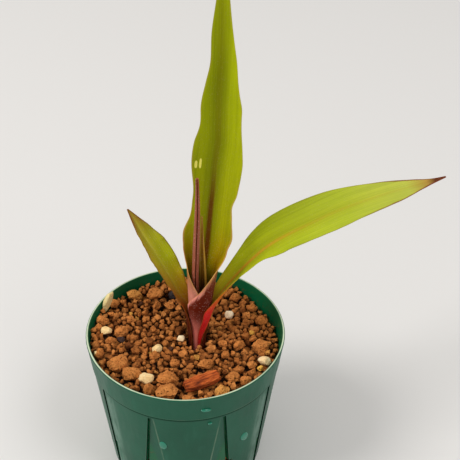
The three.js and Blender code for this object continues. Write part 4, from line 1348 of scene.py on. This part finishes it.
LEAF_LOOKS = {
    "leaf_tall_back": {
        "upper": [
            (0, SHEATH_PINK), (34, (0.16, 0.07, 0.004)), (48, (0.42, 0.26, 0.002)), (66, (0.36, 0.36, 0.002)),
            (88, (0.31, 0.34, 0.002)), (120, (0.32, 0.37, 0.002)), (165, (0.38, 0.44, 0.003)),
            (192, (0.5, 0.56, 0.03)),
        ],
        "lower": [
            (0, SHEATH_PINK), (34, (0.9, 0.32, 0.26)), (44, (0.5, 0.2, 0.07)), (58, (0.3, 0.24, 0.01)),
            (110, (0.26, 0.29, 0.01)), (192, (0.36, 0.4, 0.03)),
        ],
        "shade": (4.2, GREEN_OLIVE, [(30, 0.6), (60, 0.7), (90, 0.75), (130, 0.8), (165, 0.5), (190, 0.2)]),
        "rib": (1.4, (0.10, 0.020, 0.001), [
            (20, 0.6), (42, 0.75), (54, 0.95), (76, 0.9), (92, 0.3), (120, 0.15), (190, 0.1),
        ]),
        "edge": (0.5, (0.75, 0.34, 0.12), [
            (20, 0.5), (36, 0.6), (48, 0.6), (70, 0.4), (90, 0.15), (192, 0.1),
        ]),
        "lean": (0.5, (0.5, 0.52, 0.4)),
        "blush_and_shade": (SHEATH_MAROON, [
            (0, 0.0), (10, 0.05), (14, 0.45), (20, 0.92), (26, 1.0), (40, 0.98), (50, 0.6), (58, 0.0),
            (192, 0.0),
        ]),
        "scurf": [(0, 0.5), (12, 0.6), (20, 0.8), (40, 0.8), (50, 0.3), (66, 0.12), (192, 0.08)],
        "scars": SCARS,
    },
    "leaf_long_right": {
        "upper": [
            (0, (0.24, 0.03, 0.02)), (26, (0.5, 0.22, 0.02)), (34, (0.6, 0.52, 0.02)),
            (46, (0.42, 0.47, 0.008)), (66, (0.36, 0.42, 0.010)), (100, (0.39, 0.46, 0.03)),
            (130, (0.46, 0.5, 0.07)), (139, (0.42, 0.26, 0.05)), (143, DARK_TIP),
        ],
        "lower": [
            (0, (0.5, 0.012, 0.010)), (14, (0.75, 0.016, 0.022)), (24, (0.8, 0.03, 0.03)),
            (32, (0.7, 0.16, 0.02)), (42, (0.5, 0.32, 0.02)), (54, (0.36, 0.38, 0.012)),
            (136, (0.36, 0.38, 0.05)), (143, DARK_TIP),
        ],
        "shade": (3.0, (0.36, 0.33, 0.008), [(26, 0.35), (60, 0.4), (100, 0.2), (140, 0.0)]),
        "rib": (0.8, (0.62, 0.26, 0.02), [(20, 0.7), (50, 0.8), (64, 0.55), (84, 0.15), (140, 0.05)]),
        "edge": (0.45, (0.20, 0.04, 0.016), [
            (10, 0.3), (40, 0.3), (60, 0.12), (104, 0.25), (122, 0.8), (142, 1.0),
        ]),
        "scurf": [(0, 0.5), (34, 0.3), (60, 0.15), (140, 0.15)],
    },
    "leaf_short_left": {
        "upper": [
            (0, (0.08, 0.01, 0.002)), (24, (0.30, 0.10, 0.006)), (34, (0.40, 0.27, 0.010)),
            (46, (0.44, 0.48, 0.010)), (60, (0.36, 0.35, 0.014)), (68, (0.27, 0.14, 0.014)),
            (76, (0.15, 0.03, 0.010)), (83, DARK_TIP),
        ],
        "lower": [
            (0, (0.07, 0.007, 0.002)), (20, (0.10, 0.012, 0.003)), (34, (0.28, 0.16, 0.008)),
            (60, (0.28, 0.27, 0.012)), (76, (0.14, 0.04, 0.012)), (83, DARK_TIP),
        ],
        "lean": (0.6, (0.85, 0.42, 0.5)),
        "shade": (2.2, (0.5, 0.5, 0.03), [(24, 0.1), (40, 0.4), (62, 0.4), (74, 0.2), (83, 0.0)]),
        "rib": (0.6, (0.60, 0.56, 0.08), [(22, 0.0), (38, 0.3), (60, 0.4), (74, 0.0), (83, 0.0)]),
        "edge": (0.7, (0.20, 0.05, 0.012), [(10, 0.3), (34, 0.5), (60, 0.5), (80, 1.0)]),
        "scurf": [(0, 0.3), (34, 0.4), (60, 0.4), (83, 0.2)],
    },
    "leaf_young_spear": {
        "upper": [(0, SHEATH_MAROON), (30, (0.25, 0.06, 0.02)), (93, (0.4, 0.16, 0.06))],
        "lower": [
            (0, (0.12, 0.03, 0.01)), (24, (0.2, 0.045, 0.012)), (32, (0.24, 0.05, 0.026)),
            (60, (0.32, 0.095, 0.06)), (80, (0.34, 0.1, 0.065)), (93, (0.22, 0.05, 0.036)),
        ],
        "shade": (1.2, (0.45, 0.14, 0.07), [(20, 0.3), (93, 0.3)]),
        "rib": (0.3, (0.22, 0.04, 0.02), [(20, 0.5), (60, 0.5), (93, 0.4)]),
        "edge": (0.35, (0.26, 0.05, 0.03), [(20, 0.5), (93, 0.6)]),
        "scurf": [(0, 0.6), (30, 0.9), (93, 0.8)],
    },
    "leaf_inner_folded": {
        "upper": [(0, SHEATH_MAROON), (30, (0.16, 0.05, 0.005)), (73, (0.4, 0.24, 0.02))],
        "lower": [
            (0, (0.12, 0.03, 0.004)), (26, (0.3, 0.11, 0.012)), (36, (0.48, 0.26, 0.03)),
            (52, (0.5, 0.29, 0.04)), (73, (0.45, 0.25, 0.03)),
        ],
        "shade": (1.4, (0.3, 0.13, 0.01), [(20, 0.4), (73, 0.4)]),
        "rib": (0.5, (0.16, 0.03, 0.004), [(20, 0.5), (73, 0.5)]),
        "edge": (0.4, (0.5, 0.3, 0.05), [(20, 0.3), (36, 0.6), (73, 0.6)]),
        "scurf": [(0, 0.4), (30, 0.7), (73, 0.6)],
    },
}


def ramp_along(n, along, stops):
    """A colour that follows stops of length and colour."""
    longest = stops[-1][0]
    shares = [(at / longest, colour) for at, colour in stops]
    return n.ramp(n.math("DIVIDE", along, longest, clamped=True), shares)


def strength(n, along, stops):
    """A value that follows stops of length and strength."""
    return n.split(ramp_along(n, along, [(at, (v, v, v)) for at, v in stops]))[0]


def near(n, distance, width):
    """1 within the width, fading to 0 a little beyond it."""
    return n.fade(distance, width * 0.35, width * 1.4)


def blade_material(name, look, side):
    """Living leaf: veined along its length, darker over the rib, edged, and dusted with scurf."""
    material, n, skin = new_material(f"{name} {side}", specular=0.18)
    place = n.attribute("place", "Vector")
    rib, edge, along = n.split(place)
    veins = n.group(veins_group(), Place=place, Spacing=0.5)
    vein, streak, mottle = (veins[label] for label in ("Vein", "Streak", "Mottle"))
    reach = n.math("ABSOLUTE", rib)

    def marked(body, factor, colour, shades):
        return n.blend(n.mul(factor, strength(n, along, shades)), body, colour)

    body = ramp_along(n, along, look[side])
    width, colour, shades = look["shade"]
    wander = n.scaled(streak, 1.2, n.sub(reach, 0.6))
    body = marked(body, n.fade(wander, width * 0.3, width * 1.5), colour, shades)
    body = n.times(n.mul(streak, 0.35), body, (0.66, 0.68, 0.6))
    body = n.times(n.mul(mottle, 0.3), body, (1.3, 1.25, 1.2))
    body = n.times(n.mul(n.span(vein, 0.42, 0.62), 0.3), body, (1.45, 1.4, 1.3))
    # The sheath's maroon on its outer face, away from the margin on the minus side: partly its own red,
    # partly painted shade on the side turned from the light.
    if side == "lower" and "blush_and_shade" in look:
        inward = n.scaled(streak, 2.4, n.sub(edge, 1.2))
        blush_and_shade_mask = n.mul(n.span(inward, 0.2, 2.4), n.fade(rib, -1.0, 1.0))
        body = marked(body, blush_and_shade_mask, *look["blush_and_shade"])
    # Painted shade: the plus half of the blade, turned away from the light, is darkened.
    if "lean" in look:
        amount, by = look["lean"]
        body = n.times(n.mul(n.span(rib, -5.0, 7.0), amount), body, by)
    width, colour, shades = look["rib"]
    thread = n.scaled(vein, 0.7, n.sub(reach, 0.35))
    body = marked(body, near(n, thread, width), colour, shades)
    width, colour, shades = look["edge"]
    ragged = n.scaled(mottle, 0.5, n.sub(edge, 0.2))
    body = marked(body, near(n, ragged, width), colour, shades)
    for middle, halves in look.get("scars", []) if side == "upper" else []:
        off = [
            n.math("POWER", n.math("ABSOLUTE", n.math("DIVIDE", n.sub(spot, at), half)), 3.0)
            for spot, at, half in zip((rib, along), middle, halves)
        ]
        scrape = n.span(n.scaled(vein, 0.8, n.add(*off)), 0.8, 1.5, 0.85, 0.0)
        body = n.blend(scrape, body, SCAR_COLOUR)
    specks = n.group(scurf_group(), Vector=n.place(), Density=1500.0, Cover=0.55, Size=0.2)
    scurf_and_shade = n.mul(specks["Mask"], strength(n, along, look["scurf"]))
    body = n.blend(n.mul(scurf_and_shade, 0.6), body, SCURF_COLOUR)
    n.feed(skin["Roughness"], n.span(mottle, 0.0, 1.0, 0.42, 0.58))
    skin["Specular Tint"].default_value = (0.85, 0.9, 0.25, 1)
    n.coat(skin, body, n.scaled(scurf_and_shade, 0.5, vein), 0.12 * MM, 0.8)
    return material


class PITCAIRNIA_OT_leaf(bpy.types.Operator):
    """Grows one leaf with its wrapped sheath, channel and waved margins"""

    bl_idname = "pitcairnia.leaf"
    bl_label = "Leaf"
    node: StringProperty(name="Leaf", description="Which leaf to grow", default="leaf_tall_back")

    def execute(self, context):
        settings = context.scene.pitcairnia_leaf
        leaf = LEAVES[self.node]
        points, places, weights = leaf_places(self.node, leaf, settings)
        columns = leaf["across"] + 1
        name = self.node.replace("leaf_", "") + "_leaf"
        blade = lay_grid(name, leaf["across"], leaf["stations"], lambda i, j: points[j * columns + i])
        mark(blade, "place", places, "FLOAT_VECTOR")
        for side in ("upper", "lower"):
            blade.data.materials.append(blade_material(name, LEAF_LOOKS[self.node], side))
        group = blade.vertex_groups.new(name="thick")
        for index, weight in enumerate(weights):
            group.add([index], weight, "REPLACE")
        finish_with(
            blade, "SOLIDIFY", thickness=settings.thickness, offset=0, vertex_group="thick",
            thickness_vertex_group=settings.margin_share, material_offset=1)
        blade.vertex_groups.clear()
        smooth(blade, 60)
        settle(blade, leaf["slot"], self.node)
        return {"FINISHED"}


# The stage.

CAMERA_AT = Vector((0, -339.78 * MM, 378.54 * MM))
CAMERA_PITCH = math.radians(36.128)
CAMERA_YAW = math.radians(3.236)
CAMERA_ROLL = math.radians(1.125)
LIGHTS_AIM = Vector((0, 0, 0.08))


def add_light(name, at, size, power, colour):
    """Adds a round soft light that looks at the middle of the model."""
    data = bpy.data.lights.new(name, "AREA")
    data.shape = "DISK"
    data.size = size
    data.energy = power
    data.color = colour
    light = bpy.data.objects.new(name, data)
    bpy.context.scene.collection.objects.link(light)
    light.location = at
    light.rotation_euler = (LIGHTS_AIM - Vector(at)).to_track_quat("-Z", "Y").to_euler()


class PITCAIRNIA_OT_stage(bpy.types.Operator):
    """Sets up the pale floor, the soft lights and the camera"""

    bl_idname = "pitcairnia.stage"
    bl_label = "Stage"

    def execute(self, context):
        settings = context.scene.pitcairnia_stage
        floor = fresh(bpy.ops.mesh.primitive_plane_add, size=8, location=(0, 0, 0))
        floor.name = "floor"
        material, n, skin = new_material("Pale floor", 0.9, 0.1)
        pale = tuple(settings.floor_colour)
        body = n.blend(n.noise(n.place(), 2.0, 2.0), pale, tinted(pale, (0.98, 0.98, 0.98)))
        n.feed(skin["Base Color"], body)
        floor.data.materials.append(material)
        add_light("key", (-1.56, -0.4, 1.72), 1.0, settings.key_power, (1, 0.985, 0.965))
        add_light("fill", (1.0, -0.8, 2.0), 1.0, settings.fill_power, (0.98, 0.985, 1))
        world = bpy.data.worlds.new("Soft room")
        world.use_nodes = True
        background = world.node_tree.nodes["Background"].inputs
        background["Color"].default_value = (1, 0.99, 0.975, 1)
        background["Strength"].default_value = settings.sky
        context.scene.world = world
        context.scene.view_settings.view_transform = "Standard"
        data = bpy.data.cameras.new("camera")
        data.lens = settings.lens
        data.sensor_width = 36
        data.clip_start = 0.01
        camera = bpy.data.objects.new("camera", data)
        context.scene.collection.objects.link(camera)
        camera.matrix_world = (
            Matrix.Translation(CAMERA_AT)
            @ Matrix.Rotation(-CAMERA_YAW, 4, "Z")
            @ Matrix.Rotation(math.pi / 2 - CAMERA_PITCH, 4, "X")
            @ Matrix.Rotation(CAMERA_ROLL, 4, "Z")
        )
        context.scene.camera = camera
        return {"FINISHED"}


OPERATORS = [
    PITCAIRNIA_OT_pot, PITCAIRNIA_OT_drops, PITCAIRNIA_OT_bed, PITCAIRNIA_OT_granules,
    PITCAIRNIA_OT_lumps, PITCAIRNIA_OT_stones, PITCAIRNIA_OT_bark, PITCAIRNIA_OT_rootstock,
    PITCAIRNIA_OT_leaf, PITCAIRNIA_OT_stage,
]


class PITCAIRNIA_PT_panel(bpy.types.Panel):
    """Lists the pieces and their sizes"""

    bl_label = "Pitcairnia"
    bl_idname = "PITCAIRNIA_PT_panel"
    bl_space_type = "VIEW_3D"
    bl_region_type = "UI"
    bl_category = "Pitcairnia"

    def draw(self, context):
        for name, kind in SETTINGS.items():
            box = self.layout.box()
            for key in kind.__annotations__:
                box.prop(getattr(context.scene, name), key)
        for operator in OPERATORS:
            self.layout.operator(operator.bl_idname)


def register():
    for kind in [*SETTINGS.values(), *OPERATORS, PITCAIRNIA_PT_panel]:
        bpy.utils.register_class(kind)
    for name, kind in SETTINGS.items():
        setattr(bpy.types.Scene, name, PointerProperty(type=kind))


def unregister():
    for name in SETTINGS:
        delattr(bpy.types.Scene, name)
    for kind in reversed([*SETTINGS.values(), *OPERATORS, PITCAIRNIA_PT_panel]):
        bpy.utils.unregister_class(kind)


def main():
    register()
    bpy.ops.pitcairnia.pot()
    bpy.ops.pitcairnia.drops()
    bpy.ops.pitcairnia.bed()
    bpy.ops.pitcairnia.granules()
    bpy.ops.pitcairnia.lumps()
    bpy.ops.pitcairnia.stones()
    bpy.ops.pitcairnia.bark()
    bpy.ops.pitcairnia.rootstock()
    for node in LEAVES:
        bpy.ops.pitcairnia.leaf(node=node)
    bpy.ops.pitcairnia.stage()


if __name__ == "__main__":
    main()
